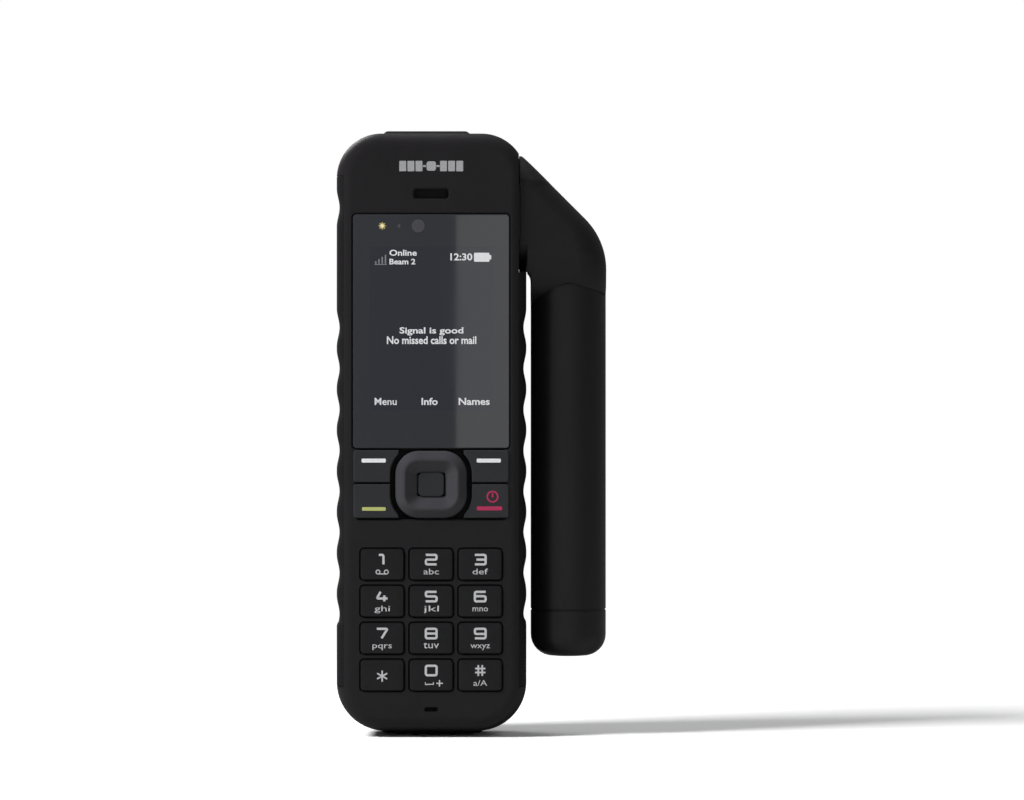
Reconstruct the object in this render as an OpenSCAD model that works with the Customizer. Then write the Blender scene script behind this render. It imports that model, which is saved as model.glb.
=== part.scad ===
// Handheld satellite telephone with a swinging side antenna.
// Millimetres. +Z runs up the handset, the keypad faces -Y and the antenna stands at +X.
// The origin is under the middle of the handset, on the plane of its lowest foot.

/* [Handset] */
// Width across the side grips
body_w = 52.8; // [52.8:0.1:54]
// Height of the housing, without the cover on top and the flap below
body_h = 166.3; // [166:0.1:170]
// Depth of the housing
body_d = 31; // [31:0.1:32]
// How far the lip of the bottom flap stands below the housing
foot_h = 1.6; // [1.4:0.1:2]
// Outline radius of the top corners
corner_top_r = 12.5; // [12:0.5:14]
// Outline radius of the bottom corners
corner_bottom_r = 13.6; // [13:0.1:14]

/* [Grips] */
// Thickness of the rubber side grips
grip_t = 2.1; // [2:0.1:2.2]
// Depth of one finger scallop
scallop_depth = 0.78; // [0.4:0.02:1]
// Distance between scallops
scallop_pitch = 11.4; // [11:0.1:11.8]

/* [Screen] */
// Width of the window
window_w = 43.4; // [42:0.1:43.6]
// Height of the window
window_h = 64.9; // [60:0.1:65.2]
// Width of the lit picture
picture_w = 34.2; // [30:0.1:35]
// Height of the lit picture
picture_h = 45.4; // [40:0.1:46]

/* [Keypad] */
// Width of a number key
key_w = 12; // [11:0.1:12.4]
// Height of a number key
key_h = 8.6; // [8:0.1:8.9]
// Distance between key columns
key_pitch_x = 13.6; // [13.4:0.1:13.8]
// Distance between key rows
key_pitch_z = 10.25; // [10.1:0.05:10.3]
// How far a key is pressed in
key_travel = 0.5; // [0.3:0.1:0.5]
// Width of the navigation ring
nav_w = 19.9; // [19:0.1:20]
// Height of the navigation ring
nav_h = 18.7; // [18:0.1:18.8]

/* [Antenna] */
// Height of the swing axis above the foot
hub_z = 145.9; // [145.9:0.05:146.2]
// Radius of the round end of the arm at the swing axis
hub_r = 16; // [15.8:0.1:16]
// Diameter of the antenna tube
tube_d = 21.1; // [20.5:0.1:21.3]
// Distance of the tube's axis from the middle of the handset
tube_x = 38.2; // [38.2:0.1:39]
// Height of the tube's rounded lower end above the foot
tube_low_z = 22; // [15:0.5:30]
// Radius of the hollow hinge shaft
shaft_r = 6; // [5.8:0.1:6.1]

/* [Battery] */
// Width of the battery pack
pack_w = 39.2; // [36:0.1:39.4]
// Height of the battery pack
pack_h = 88; // [80:0.5:88.5]
// Depth of the battery pack
pack_d = 11.1; // [10:0.1:11.1]

/* [Hidden] */

$fn = 96;
past = 1;           // how far a cutter runs past the face it opens
slip = 0.05;        // running clearance of a turning shaft
seat = 0.02;        // clearance of a part fixed in its seat
side_gap = 0.15;    // clearance around a part that slides or lifts
fit = 0.1;          // clearance around a part dropped into its pocket

// Housing
face_y = -body_d / 2;
back_y = body_d / 2;
body_z0 = foot_h;
body_z1 = foot_h + body_h;
front_edge_r = 4.5;
rear_edge_r = 8;
parting_y = 9.6;
front_wall = 2.4;
rear_wall = 2;
wall = 1.6;
cavity_inset = grip_t + wall;
seal_d = 0.7;                       // depth of the seal's groove in the parting face
seal_from = 0.4;                    // the groove's inner and outer side, from the housing's inner wall
seal_to = 1.2;
front_in_y = face_y + front_wall;
rear_in_y = back_y - rear_wall;
hub_side_x = 24.6;                  // flat side of the housing beside the antenna hub
hub_side_z = 129.8;                 // where that flat side begins
hub_step = 0.35;
hub_step_r = hub_r - 0.7;

// Grips
grip_x = body_w / 2 - grip_t;
grip_z0 = 14;
grip_z1 = 156;
grip_right_z1 = hub_side_z - 0.3;
scallop_chord = 8.4;
scallop_r = (scallop_chord * scallop_chord / 4 + scallop_depth * scallop_depth) / (2 * scallop_depth);
scallop_z0 = 34.1;
scallop_count = 8;
upper_scallop_z = 147.3;

// Screen
window_z0 = 80.3;
window_mid_z = window_z0 + window_h / 2;
window_y0 = face_y + 0.1;
window_t = 1.4;
pocket_floor_y = window_y0 + window_t + fit;
window_r = 1;
picture_z = 113.5;
panel_w = 40.4;
panel_h = 53;
panel_t = 2.9;
sensor_z = 142;
led_x = -13.6;
led_r = 1;
sensor_x = -3.65;
sensor_r = 1.8;

// Boards behind the front wall
board_y0 = -9.4;
board_t = 1.2;
board_w = 37.6;
board_z0 = 12;
board_z1 = 150;
mat_y0 = -11.7;
mat_t = 0.6;
mat_size = [41.6, 70.8];
mat_z = 45.4;
can_h = 2.6;
stem_end_y = board_y0 - 2 * key_travel;     // a pressed key still clears the board
stem_r = 1.5;
stem_hole_r = 2.2;

// Number keys
key_top_z = 48.1;
key_r = 1;
key_proud = 0.6;
flange_w = 0.4;
flange_t = 0.5;
flange_y0 = front_in_y + 0.15;

// Function keys and navigation ring
nav_z = 70.25;
nav_r = 6.5;
nav_front_y = face_y - 1.5;
nav_back_y = face_y + 1.6;
nav_well = [14.2, 13.4];
nav_well_r = 3.6;
nav_well_y = face_y + 0.1;
nav_gap = 1.35;
nav_pad_y0 = nav_back_y + 0.5;
nav_pad_t = 0.8;
nav_pad_size = [17, 16];
nav_pad_stem_offset = 6.8;
nav_pad_stem_r = 1.2;
nav_pad_r = 5;
nav_pad_hole_r = 6.2;
select_size = [7.2, 6.7];
select_r = 1.4;
select_gap = 0.2;
select_flange = 0.7;
select_y0 = nav_well_y - 0.3;
function_x1 = 20.6;
function_x0 = 9;
function_z = [60.9, 70.4, 70.8, 79.8];
function_r = 0.9;
function_stem_x = 16.4;
function_flange = [4, 3];           // the flange's width, and how much shorter it is than the key
panel_opening = [41.8, 19.5];
panel_opening_z = 70.35;

// Sound
earpiece_z = 150.9;
earpiece_slot = [9.6, 2.6];
mic_z = 7.8;
mic_slot = [3.7, 1.1];
mic_r = 2;
mic_t = 2;
mesh_size = [12, 5];
mesh_t = 0.3;
earpiece_size = [15, 8];
earpiece_t = 2.95;
speaker_x = 3;
speaker_z = 134;
speaker_r = 11;
speaker_y0 = 10.2;
magnet_r = 7;
magnet_y0 = 8;
grille_slots = 5;
grille_pitch = 3.2;

// Volume rocker
rocker_z = 130.2;
rocker_len = 22.2;
rocker_half_y = 4;
rocker_clear = 0.3;
rocker_back_x = -body_w / 2 + grip_t - fit;
rocker_pocket = 0.75;

// Assistance cover and button on top
assist_x0 = -14;
assist_x1 = 11;
assist_x = (assist_x0 + assist_x1) / 2;
assist_slope = 1.4;
top_rise = 1.1;
lid_y0 = -6;
lid_hinge_y = 7.2;
lid_barrel_r = 1;
lid_t = 2.6;
lid_clear = 0.2;
lid_side = 0.3;
assist_hinge_z = body_z1 + top_rise - lid_barrel_r;
assist_low_z = body_z1 + top_rise - lid_t;
assist_button_r = 4;
assist_flange = [0.8, 0.9];         // how far the button's flange stands out, and its thickness

// Flap and sockets at the bottom
flap_x = 14.2;
flap_drop = 1;
flap_lip_x = [-6, 7];
flap_lip_y = [-4, 4];
flap_top_z = body_z0 + 1.5;
flap_hinge_z = body_z0;
socket_y = -2.5;
usb_x = -6.5;
usb_size = [7.5, 2.7];
usb_top_z = 10;
usb_shell_t = 0.3;
usb_tongue = [4, 0.6];
headset_x = 6.5;
headset_r = 3;
headset_bore_r = 1.75;
headset_top_z = 17.5;
socket_low_z = flap_top_z + 0.3;

// External antenna port and its cap on the back
port_x = -14.5;
port_z = 148.8;
port_r = 3.6;
port_bore_r = 2;
cap_size = [12, 11];
cap_t = 1.5;
cap_barrel_r = 0.6;
cap_hinge_x = port_x - cap_size[0] / 2;

// Battery bay and its cover
bay_w = pack_w + 1.2;
bay_z0 = 22.4;
bay_z1 = 113.6;
bay_wall = 1.5;
bay_floor_y = 4;
bay_floor_t = 2;
pack_y0 = bay_floor_y + bay_floor_t + 0.2;
pack_z0 = 24;
cover_w = 44;
cover_z0 = 13.5;
cover_z1 = 119.5;
cover_y0 = back_y + seat;
cover_y1 = back_y + 3.5;
cover_wall = 1.5;
cover_r = 6;
cover_edge_r = 3;
cover_form_d = 10;                  // depth of the rounded form the cover is cut from
screw_z = 18.2;
screw_head_r = 4;
screw_head_t = 1.6;
screw_shank_r = 1.75;
screw_slot = [1.2, 0.9];            // width and depth of the slot for a coin
screw_sunk = 0.3;                   // how far the head lies below the cover's face
contacts_z = 107;
contacts_size = [12, 5];

// SIM holder on the bay floor
sim_size = [17, 13.2];
sim_z1 = 70;
sim_frame_t = 0.6;
sim_lid_t = 0.3;
sim_frame_w = 2;
sim_window = [8, 6];
sim_barrel_x = 6;
sim_recess = 1;
sim_slide = 1.2;                    // how far the lid slides up to unlock

// Case screws: bosses beside the bay and at the corners
boss_r = 3.6;
boss_y0 = -7;
case_screws_at = [[-15, 9], [15, 9], [-19.4, 124], [19.4, 124], [-19.2, 157.5], [17.6, 159.6]];
case_screw_r = 1.2;
case_screw_head_r = 2.3;
case_screw_head_y = 12.2;
case_screw_head_t = 1.5;
case_screw_y0 = boss_y0 + 3;
hex_r = 1.1;
hex_d = 0.8;

// Antenna hub
bush_r = 7.5;
bush_x0 = 20.2;
bush_flange_r = 8.6;
hub_boss_r = 9.2;
hub_boss_x0 = 21;
shaft_x0 = 17.2;
shaft_x1 = 32.8;
shaft_bore_r = 2.5;
clip_x = 18.4;
clip_t = 0.8;
clip_groove_r = shaft_r - 0.8;
clip_r = shaft_r + 1.4;
clip_mouth = 5;
seal_ring_r = 8.1;
seal_section_r = 0.5;

// Antenna arm
arm_x0 = hub_side_x + 0.15;
arm_rim_x = arm_x0 - hub_step;
arm_relief_x = body_w / 2 + 0.3;    // beyond this the arm may reach below the hub without touching a grip
arm_relief_r = hub_r - seat;
tube_r = tube_d / 2;
arm_x1 = tube_x + tube_r + 0.05;
arm_inner_x = tube_x - tube_r;
arm_corner_r = 20.4;
arm_corner_z = 129.4;
arm_low_z = 118;
arm_lower_r = 12.7;
arm_lower_z = 133;
arm_edge_r = 8;
arm_side_in = 0.05;
arm_half_d = 13.8;                  // the arm's flat front and rear stand back from the housing's
halves_gap = 0.03;
slit_top_z = 129.6;
slit_low_z = 126.9;
seal_x = arm_x0 - seat - seal_section_r;

// Antenna tube
shoulder_z = 126.5;
neck_r = 8;
neck_z1 = 132;
arm_tube_gap = 0.25;                // space between the tube and the arm around it
tube_wall = 1.5;
tube_end_r = 6;
core_r = 7.5;
core_bore_r = 5.5;
core_z0 = 34;
core_z1 = 120;
core_flange_t = 2;
helix_strips = 4;
helix_z0 = core_z0 + 4;
helix_h = 78;
helix_turn = 270;
helix_strip = [1.8, 0.4];
coax_r = 1.1;
coax_x0 = 14;
coax_bend_r = 4;
coax_drop_x = 34.8;                 // where the cable turns down into the tube
coax_way_r = 2;
coax_end_z = core_z1 - 3;

black = [0.13, 0.12, 0.13];
rubber = [0.12, 0.12, 0.12];
key_grey = [0.2, 0.2, 0.21];
metal = [0.72, 0.72, 0.74];
gold = [0.83, 0.66, 0.3];

// ---- helpers ----

function key_x(column) = (column - 1) * key_pitch_x;
function key_z(row) = key_top_z - row * key_pitch_z;
function scallop_z(i) = scallop_z0 + i * scallop_pitch;

// Extrudes an outline drawn in X and Z between two depths
module slab_y(y0, y1) translate([0, y1, 0]) rotate([90, 0, 0]) linear_extrude(y1 - y0) children();

// Extrudes an outline drawn in Y and Z between two widths
module slab_x(x0, x1) translate([x0, 0, 0]) rotate([90, 0, 90]) linear_extrude(x1 - x0) children();

module rod_y(x, z, r, y0, y1) translate([x, y1, z]) rotate([90, 0, 0]) cylinder(r = r, h = y1 - y0);

module rod_x(y, z, r, x0, x1) translate([x0, y, z]) rotate([0, 90, 0]) cylinder(r = r, h = x1 - x0);

module block(low, high) translate(low) cube(high - low);

// Rectangle about the origin with four round corners
module round_rect(size, r) {
    square([size[0] - 2 * r, size[1]], center = true);
    square([size[0], size[1] - 2 * r], center = true);
    for (sx = [-1, 1], sz = [-1, 1]) translate([sx * (size[0] / 2 - r), sz * (size[1] / 2 - r)]) circle(r);
}

// Front outline of the handset, drawn in X and Z
module handset_outline(inset = 0) {
    half = body_w / 2 - inset;
    z0 = body_z0 + inset;
    z1 = body_z1 - inset;
    low_r = corner_bottom_r - inset;
    top_r = corner_top_r - inset;
    translate([-half, z0 + low_r]) square([2 * half, z1 - z0 - low_r - top_r]);
    translate([-half + low_r, z0]) square([2 * (half - low_r), low_r]);
    translate([-half + top_r, z1 - top_r]) square([2 * (half - top_r), top_r]);
    for (side = [-1, 1]) {
        translate([side * (half - low_r), z0 + low_r]) circle(low_r);
        translate([side * (half - top_r), z1 - top_r]) circle(top_r);
    }
}

// Rectangle across the depth, with small corners at the front and large ones at the back
module depth_rect(u0, u1) {
    translate([u0 + rear_edge_r, face_y]) square([u1 - u0 - 2 * rear_edge_r, body_d]);
    translate([u0, face_y + front_edge_r]) square([u1 - u0, body_d - front_edge_r - rear_edge_r]);
    for (u = [u0 + front_edge_r, u1 - front_edge_r])
        translate([u, face_y + front_edge_r]) circle(front_edge_r);
    for (u = [u0 + rear_edge_r, u1 - rear_edge_r])
        translate([u, back_y - rear_edge_r]) circle(rear_edge_r);
    translate([u0 + front_edge_r, face_y]) square([u1 - u0 - 2 * front_edge_r, front_edge_r]);
}

// Whole handset without openings: the outline, the plan and the side view intersected
module handset_form() {
    intersection() {
        slab_y(face_y, back_y) handset_outline();
        linear_extrude(body_z1 + past) depth_rect(-body_w / 2, body_w / 2);
        slab_x(-body_w / 2, body_w / 2) rotate(90) mirror([0, 1]) depth_rect(body_z0, body_z1);
    }
}

// Flat side beside the arm, with a low round step that stands inside the arm's rim and keeps light out
module hub_side_cut() {
    difference() {
        block([hub_side_x - hub_step, face_y - past, hub_side_z], [body_w, back_y + past, body_z1 + past]);
        rod_x(0, hub_z, hub_step_r, hub_side_x - 2 * hub_step, hub_side_x);
    }
}

// Everything outside the flat side of the housing, where a rubber grip goes
module grip_zone(side, z1, clear = 0) {
    x0 = grip_x + clear;
    block([side > 0 ? x0 : -body_w, face_y - past, grip_z0 + clear],
        [side > 0 ? body_w : -x0, back_y + past, z1 - clear]);
}

module scallops(side, count_z) {
    for (z = count_z)
        rod_y(side * (body_w / 2 + scallop_r - scallop_depth), z, scallop_r, face_y - past, back_y + past);
}

module nav_clearance() {
    translate([0, nav_z]) round_rect([nav_w + 2 * nav_gap, nav_h + 2 * nav_gap], nav_r + nav_gap);
}

module stem_holes_at() {
    for (column = [0:2], row = [0:3]) translate([key_x(column), key_z(row)]) children();
    for (side = [-1, 1], row = [0, 1])
        translate([side * function_stem_x, (function_z[2 * row] + function_z[2 * row + 1]) / 2]) children();
    for (angle = [0:90:270])
        translate([0, nav_z]) rotate(angle) translate([nav_pad_stem_offset, 0]) children();
    translate([0, nav_z]) children();
}

module case_screw_places() for (place = case_screws_at) translate([place[0], 0, place[1]]) children();

// ---- handset ----

module front_housing() {
    color(black) difference() {
        union() {
            difference() {
                handset_form();
                slab_y(front_in_y, parting_y + past) handset_outline(cavity_inset);
            }
            case_screw_places() rod_y(0, 0, boss_r, boss_y0, parting_y);
            rod_x(0, hub_z, hub_boss_r, hub_boss_x0, hub_side_x);
        }
        block([-body_w, parting_y, -past], [body_w, back_y + past, body_z1 + past]);
        hub_side_cut();
        grip_zone(-1, grip_z1);
        grip_zone(1, grip_right_z1);
        slab_y(parting_y - seal_d, parting_y + past) difference() {
            handset_outline(cavity_inset - seal_to);
            handset_outline(cavity_inset - seal_from);
        }
        slab_y(face_y - past, pocket_floor_y)
            translate([0, window_mid_z])
                round_rect([window_w + 4 * fit, window_h + 4 * fit], window_r + 2 * fit);
        slab_y(face_y - past, front_in_y + past) {
            translate([0, picture_z]) round_rect([picture_w + 2, picture_h + 2], 1);
            translate([0, panel_opening_z]) round_rect(panel_opening, 1.2);
            translate([0, earpiece_z]) round_rect(earpiece_slot, 0.8);
            translate([0, mic_z]) round_rect(mic_slot, 0.5);
            for (column = [0:2], row = [0:3]) translate([key_x(column), key_z(row)])
                round_rect([key_w + 2 * side_gap, key_h + 2 * side_gap], key_r + side_gap);
        }
        rod_y(led_x, sensor_z, led_r + side_gap, face_y, front_in_y + past);
        rod_y(sensor_x, sensor_z, sensor_r + side_gap, face_y, front_in_y + past);
        block([-grip_x - past, -rocker_half_y - rocker_clear, rocker_z - rocker_len / 2 - rocker_clear],
            [-grip_x + rocker_pocket, rocker_half_y + rocker_clear,
            rocker_z + rocker_len / 2 + rocker_clear]);
        lid_recess(assist_x0, assist_x1, assist_low_z, body_z1 + past);
        translate([assist_x, 0, body_z1 - 2 * cavity_inset])
            cylinder(r = assist_button_r + side_gap, h = 2 * cavity_inset);
        lid_recess(-flap_x, flap_x, -past, flap_top_z);
        translate([usb_x, socket_y, 0]) linear_extrude(usb_top_z) round_rect(usb_size + 4 * fit * [1, 1], 1);
        translate([headset_x, socket_y, 0]) cylinder(r = headset_r + fit, h = headset_top_z);
        rod_x(0, hub_z, bush_r + seat, hub_boss_x0 - past, hub_side_x + past);
        rod_x(0, hub_z, bush_flange_r + fit, bush_x0 - 3, hub_boss_x0);
        seal_step();
        case_screw_places() rod_y(0, 0, case_screw_r + seat, boss_y0 + past, parting_y + past);
    }
}

// Recess that holds a hinged lid in the top or the bottom of the housing
module lid_recess(x0, x1, z0, z1) {
    grow = z0 < 0 ? [0, lid_clear] : [-lid_clear, 0];
    block([x0 - lid_side, lid_y0 - lid_side, z0 + grow[0]],
        [x1 + lid_side, lid_hinge_y + lid_barrel_r + 0.25, z1 + grow[1]]);
}

// Step around the end of the hinge bush, where the ring seal lies against the arm
module seal_step() {
    rod_x(0, hub_z, seal_ring_r + seal_section_r + fit, seal_x - seal_section_r - slip, hub_side_x + past);
}

module rear_housing() {
    color(black) difference() {
        union() {
            difference() {
                intersection() {
                    handset_form();
                    block([-body_w, parting_y + seat, -past], [body_w, back_y + past, body_z1 + past]);
                }
                slab_y(parting_y - past, rear_in_y) handset_outline(cavity_inset);
            }
            block([-bay_w / 2 - bay_wall, bay_floor_y, bay_z0 - bay_wall],
                [bay_w / 2 + bay_wall, rear_in_y, bay_z1 + bay_wall]);
            case_screw_places() rod_y(0, 0, boss_r, parting_y + seat, rear_in_y);
            rod_y(0, screw_z, boss_r, parting_y + seat, rear_in_y);
            rod_y(port_x, port_z, port_r + 1.4, parting_y + seat, rear_in_y);
        }
        hub_side_cut();
        grip_zone(-1, grip_z1);
        grip_zone(1, grip_right_z1);
        block([-bay_w / 2, bay_floor_y + bay_floor_t, bay_z0], [bay_w / 2, back_y + past, bay_z1]);
        block([-sim_size[0] / 2 - 0.2, bay_floor_y + bay_floor_t - sim_recess, sim_z1 - sim_size[1] - 0.8],
            [sim_size[0] / 2 + 0.2, bay_floor_y + bay_floor_t + past, sim_z1 + 0.6 + sim_slide]);
        slab_y(bay_floor_y - past, bay_floor_y + bay_floor_t + past)
            translate([0, contacts_z]) round_rect(contacts_size + 2 * fit * [1, 1], 0.5);
        rod_y(0, screw_z, screw_shank_r + slip, parting_y - past, back_y + past);
        rod_y(port_x, port_z, port_r + seat, parting_y - past, back_y + past);
        slab_y(back_y - cap_t - fit, back_y + past) translate([port_x - 0.2, port_z])
            round_rect(cap_size + [2.2, 0.6], 1.5);
        for (i = [0:grille_slots - 1])
            slab_y(rear_in_y - past, back_y + past)
                translate([speaker_x, speaker_z + (i - (grille_slots - 1) / 2) * grille_pitch])
                    round_rect([14, 1.2], 0.59);
        case_screw_places() {
            rod_y(0, 0, case_screw_r + seat, parting_y - past, back_y + past);
            rod_y(0, 0, case_screw_head_r + fit, case_screw_head_y, back_y + past);
        }
    }
}

module side_grip(side, z1, scallops_at) {
    color(rubber) difference() {
        intersection() {
            handset_form();
            grip_zone(side, z1, seat);
        }
        scallops(side, scallops_at);
        if (side < 0)
            block([-body_w, -rocker_half_y - rocker_clear, rocker_z - rocker_len / 2 - rocker_clear],
                [0, rocker_half_y + rocker_clear, rocker_z + rocker_len / 2 + rocker_clear]);
    }
}

module side_grip_left() {
    side_grip(-1, grip_z1, concat([for (i = [0:scallop_count - 1]) scallop_z(i)], [upper_scallop_z]));
}

module side_grip_right() {
    side_grip(1, grip_right_z1, [for (i = [0:scallop_count - 1]) scallop_z(i)]);
}

module housing_seal() {
    color("dimgray") slab_y(parting_y - seal_d + seat, parting_y) difference() {
        handset_outline(cavity_inset - seal_to + seat);
        handset_outline(cavity_inset - seal_from - seat);
    }
}

module display_window() {
    color([0.2, 0.2, 0.22]) slab_y(window_y0, window_y0 + window_t)
        translate([0, window_mid_z]) round_rect([window_w, window_h], window_r);
}

module display_panel() {
    color([0.3, 0.3, 0.33]) slab_y(front_in_y + fit, front_in_y + panel_t)
        translate([0, picture_z]) round_rect([panel_w, panel_h], 1);
}

module status_led() {
    color([0.8, 0.75, 0.4]) rod_y(led_x, sensor_z, led_r, pocket_floor_y + 0.05, board_y0 - seat);
}

module light_sensor() {
    color([0.25, 0.25, 0.27]) rod_y(sensor_x, sensor_z, sensor_r, pocket_floor_y + 0.05, board_y0 - seat);
}

module earpiece_mesh() {
    color("black") slab_y(front_in_y + seat, front_in_y + mesh_t)
        translate([0, earpiece_z]) round_rect(mesh_size, 1);
}

module earpiece_speaker() {
    color("silver") slab_y(front_in_y + mesh_t + slip, front_in_y + mesh_t + slip + earpiece_t)
        translate([0, earpiece_z]) round_rect(earpiece_size, 3);
}

module microphone() {
    color("silver") rod_y(0, mic_z, mic_r, front_in_y + fit, front_in_y + fit + mic_t);
}

module keypad_mat() {
    color("gray") slab_y(mat_y0, mat_y0 + mat_t) difference() {
        translate([0, mat_z]) round_rect(mat_size, 3);
        stem_holes_at() circle(stem_hole_r);
    }
}

module main_board() {
    color("darkgreen") slab_y(board_y0, board_y0 + board_t)
        translate([0, (board_z0 + board_z1) / 2]) round_rect([board_w, board_z1 - board_z0], 2);
}

module shield_can(x, z, size) {
    back = board_y0 + board_t;
    slab_y(back + seat, back + can_h) translate([x, z]) round_rect(size, 1);
}

module shield_cans() {
    color(metal) {
        shield_can(0, 44, [32, 28]);
        shield_can(0, 76, [32, 24]);
        shield_can(-4, 106, [26, 22]);
    }
}

module loudspeaker() {
    color("silver") {
        rod_y(speaker_x, speaker_z, speaker_r, speaker_y0, rear_in_y - fit);
        rod_y(speaker_x, speaker_z, magnet_r, magnet_y0, speaker_y0 + fit);
    }
}

module usb_socket() {
    color(metal) translate([usb_x, socket_y, socket_low_z]) difference() {
        linear_extrude(usb_top_z - socket_low_z) round_rect(usb_size, 0.9);
        translate([0, 0, -past]) linear_extrude(usb_top_z - socket_low_z) difference() {
            round_rect(usb_size - 2 * usb_shell_t * [1, 1], 0.7);
            translate([0, 0.4]) square(usb_tongue, center = true);
        }
    }
}

module headset_socket() {
    color("dimgray") translate([headset_x, socket_y, socket_low_z]) difference() {
        cylinder(r = headset_r, h = headset_top_z - socket_low_z);
        translate([0, 0, -past]) cylinder(r = headset_bore_r, h = headset_top_z - socket_low_z);
    }
}

module antenna_port() {
    color(gold) difference() {
        rod_y(port_x, port_z, port_r, parting_y, back_y - cap_t - 0.3);
        rod_y(port_x, port_z, port_bore_r, parting_y + 1, back_y);
    }
}

module battery_contacts() {
    color(gold) slab_y(bay_floor_y - 1, pack_y0 - fit) for (i = [-1.5:1.5])
        translate([i * 2.6, contacts_z]) round_rect([1.4, contacts_size[1] - 0.4], 0.4);
}

module sim_holder() {
    floor_y = bay_floor_y + bay_floor_t - sim_recess;
    color(metal) slab_y(floor_y + seat, floor_y + sim_frame_t)
        translate([0, sim_z1 - 0.6 - sim_size[1] / 2]) difference() {
            round_rect([sim_size[0], sim_size[1] - 1.2], 0.8);
            round_rect([sim_size[0] - 2 * sim_frame_w, sim_size[1] - 1.2 - 1.5 * sim_frame_w], 0.8);
        }
}

module sim_lid() {
    lid_y1 = bay_floor_y + bay_floor_t;
    color(metal) {
        difference() {
            slab_y(lid_y1 - sim_lid_t, lid_y1) translate([0, sim_z1 - sim_size[1] / 2])
                round_rect(sim_size, 0.8);
            slab_y(lid_y1 - past, lid_y1 + past) translate([0, sim_z1 - sim_size[1] / 2])
                round_rect(sim_window, 1);
        }
        rod_x(lid_y1 - sim_lid_t / 2, sim_z1, sim_lid_t, -sim_barrel_x, sim_barrel_x);
    }
}

module case_screws() {
    color(metal) case_screw_places() {
        rod_y(0, 0, case_screw_r, case_screw_y0, case_screw_head_y + case_screw_head_t / 3);
        difference() {
            rod_y(0, 0, case_screw_head_r, case_screw_head_y + seat, case_screw_head_y + case_screw_head_t);
            translate([0, case_screw_head_y + case_screw_head_t + past, 0]) rotate([90, 0, 0])
                cylinder(r = hex_r, h = hex_d + past, $fn = 6);
        }
    }
}

module hinge_bush() {
    color("burlywood") difference() {
        union() {
            rod_x(0, hub_z, bush_r, bush_x0, hub_side_x);
            rod_x(0, hub_z, bush_flange_r, bush_x0, hub_boss_x0 - seat);
        }
        rod_x(0, hub_z, shaft_r + slip, bush_x0 - past, hub_side_x + past);
    }
}

module hinge_seal() {
    color("dimgray") translate([seal_x, 0, hub_z]) rotate([0, 90, 0])
        rotate_extrude() translate([seal_ring_r, 0]) circle(seal_section_r, $fn = 32);
}

// ---- keys ----

module number_key(column, row) {
    color(key_grey) translate([key_x(column), 0, key_z(row)]) {
        slab_y(face_y - key_proud, flange_y0 + flange_t) round_rect([key_w, key_h], key_r);
        slab_y(flange_y0, flange_y0 + flange_t)
            round_rect([key_w + 2 * flange_w, key_h + 2 * flange_w], key_r);
        rod_y(0, 0, stem_r, flange_y0, stem_end_y);
    }
}

module key_1() number_key(0, 0);
module key_2() number_key(1, 0);
module key_3() number_key(2, 0);
module key_4() number_key(0, 1);
module key_5() number_key(1, 1);
module key_6() number_key(2, 1);
module key_7() number_key(0, 2);
module key_8() number_key(1, 2);
module key_9() number_key(2, 2);
module key_star() number_key(0, 3);
module key_0() number_key(1, 3);
module key_hash() number_key(2, 3);

// One of the four keys beside the navigation ring, cut back around it
module function_key(side, row) {
    z0 = function_z[2 * row];
    z1 = function_z[2 * row + 1];
    width = function_x1 - function_x0;
    color(key_grey) {
        slab_y(face_y - 0.4, flange_y0 + flange_t) difference() {
            translate([side * (function_x0 + width / 2), (z0 + z1) / 2])
                round_rect([width, z1 - z0], function_r);
            nav_clearance();
        }
        slab_y(flange_y0, flange_y0 + flange_t)
            translate([side * (function_x1 - 1), (z0 + z1) / 2])
                square([function_flange[0], z1 - z0 - function_flange[1]], center = true);
        rod_y(side * function_stem_x, (z0 + z1) / 2, stem_r, flange_y0, stem_end_y);
    }
}

module soft_key_left() function_key(-1, 1);
module soft_key_right() function_key(1, 1);
module call_key() function_key(-1, 0);
module end_key() function_key(1, 0);

module nav_pad() {
    color("gray") {
        slab_y(nav_pad_y0, nav_pad_y0 + nav_pad_t) translate([0, nav_z]) difference() {
            round_rect(nav_pad_size, nav_pad_r);
            circle(nav_pad_hole_r);
        }
        for (angle = [0:90:270]) {
            x = nav_pad_stem_offset * cos(angle);
            z = nav_z + nav_pad_stem_offset * sin(angle);
            rod_y(x, z, nav_pad_stem_r, nav_pad_y0 + nav_pad_t / 2, stem_end_y);
        }
    }
}

module nav_ring() {
    color([0.26, 0.25, 0.28]) translate([0, 0, nav_z]) difference() {
        slab_y(nav_front_y, nav_back_y) round_rect([nav_w, nav_h], nav_r);
        slab_y(nav_front_y - past, nav_well_y) round_rect(nav_well, nav_well_r);
        slab_y(nav_well_y - past, nav_back_y + past)
            round_rect(select_size + 2 * select_gap * [1, 1], select_r + select_gap);
    }
}

module select_key() {
    color(key_grey) translate([0, 0, nav_z]) {
        slab_y(select_y0, nav_pad_y0 + nav_pad_t) round_rect(select_size, select_r);
        slab_y(nav_pad_y0, nav_pad_y0 + nav_pad_t)
            round_rect(select_size + 2 * select_flange * [1, 1], select_r);
        rod_y(0, 0, stem_r, nav_pad_y0, stem_end_y);
    }
}

module volume_rocker() {
    color(rubber) intersection() {
        slab_x(-body_w / 2, rocker_back_x) translate([0, rocker_z])
            round_rect([2 * rocker_half_y, rocker_len], 2);
        handset_form();
    }
}

// ---- lids ----

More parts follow.
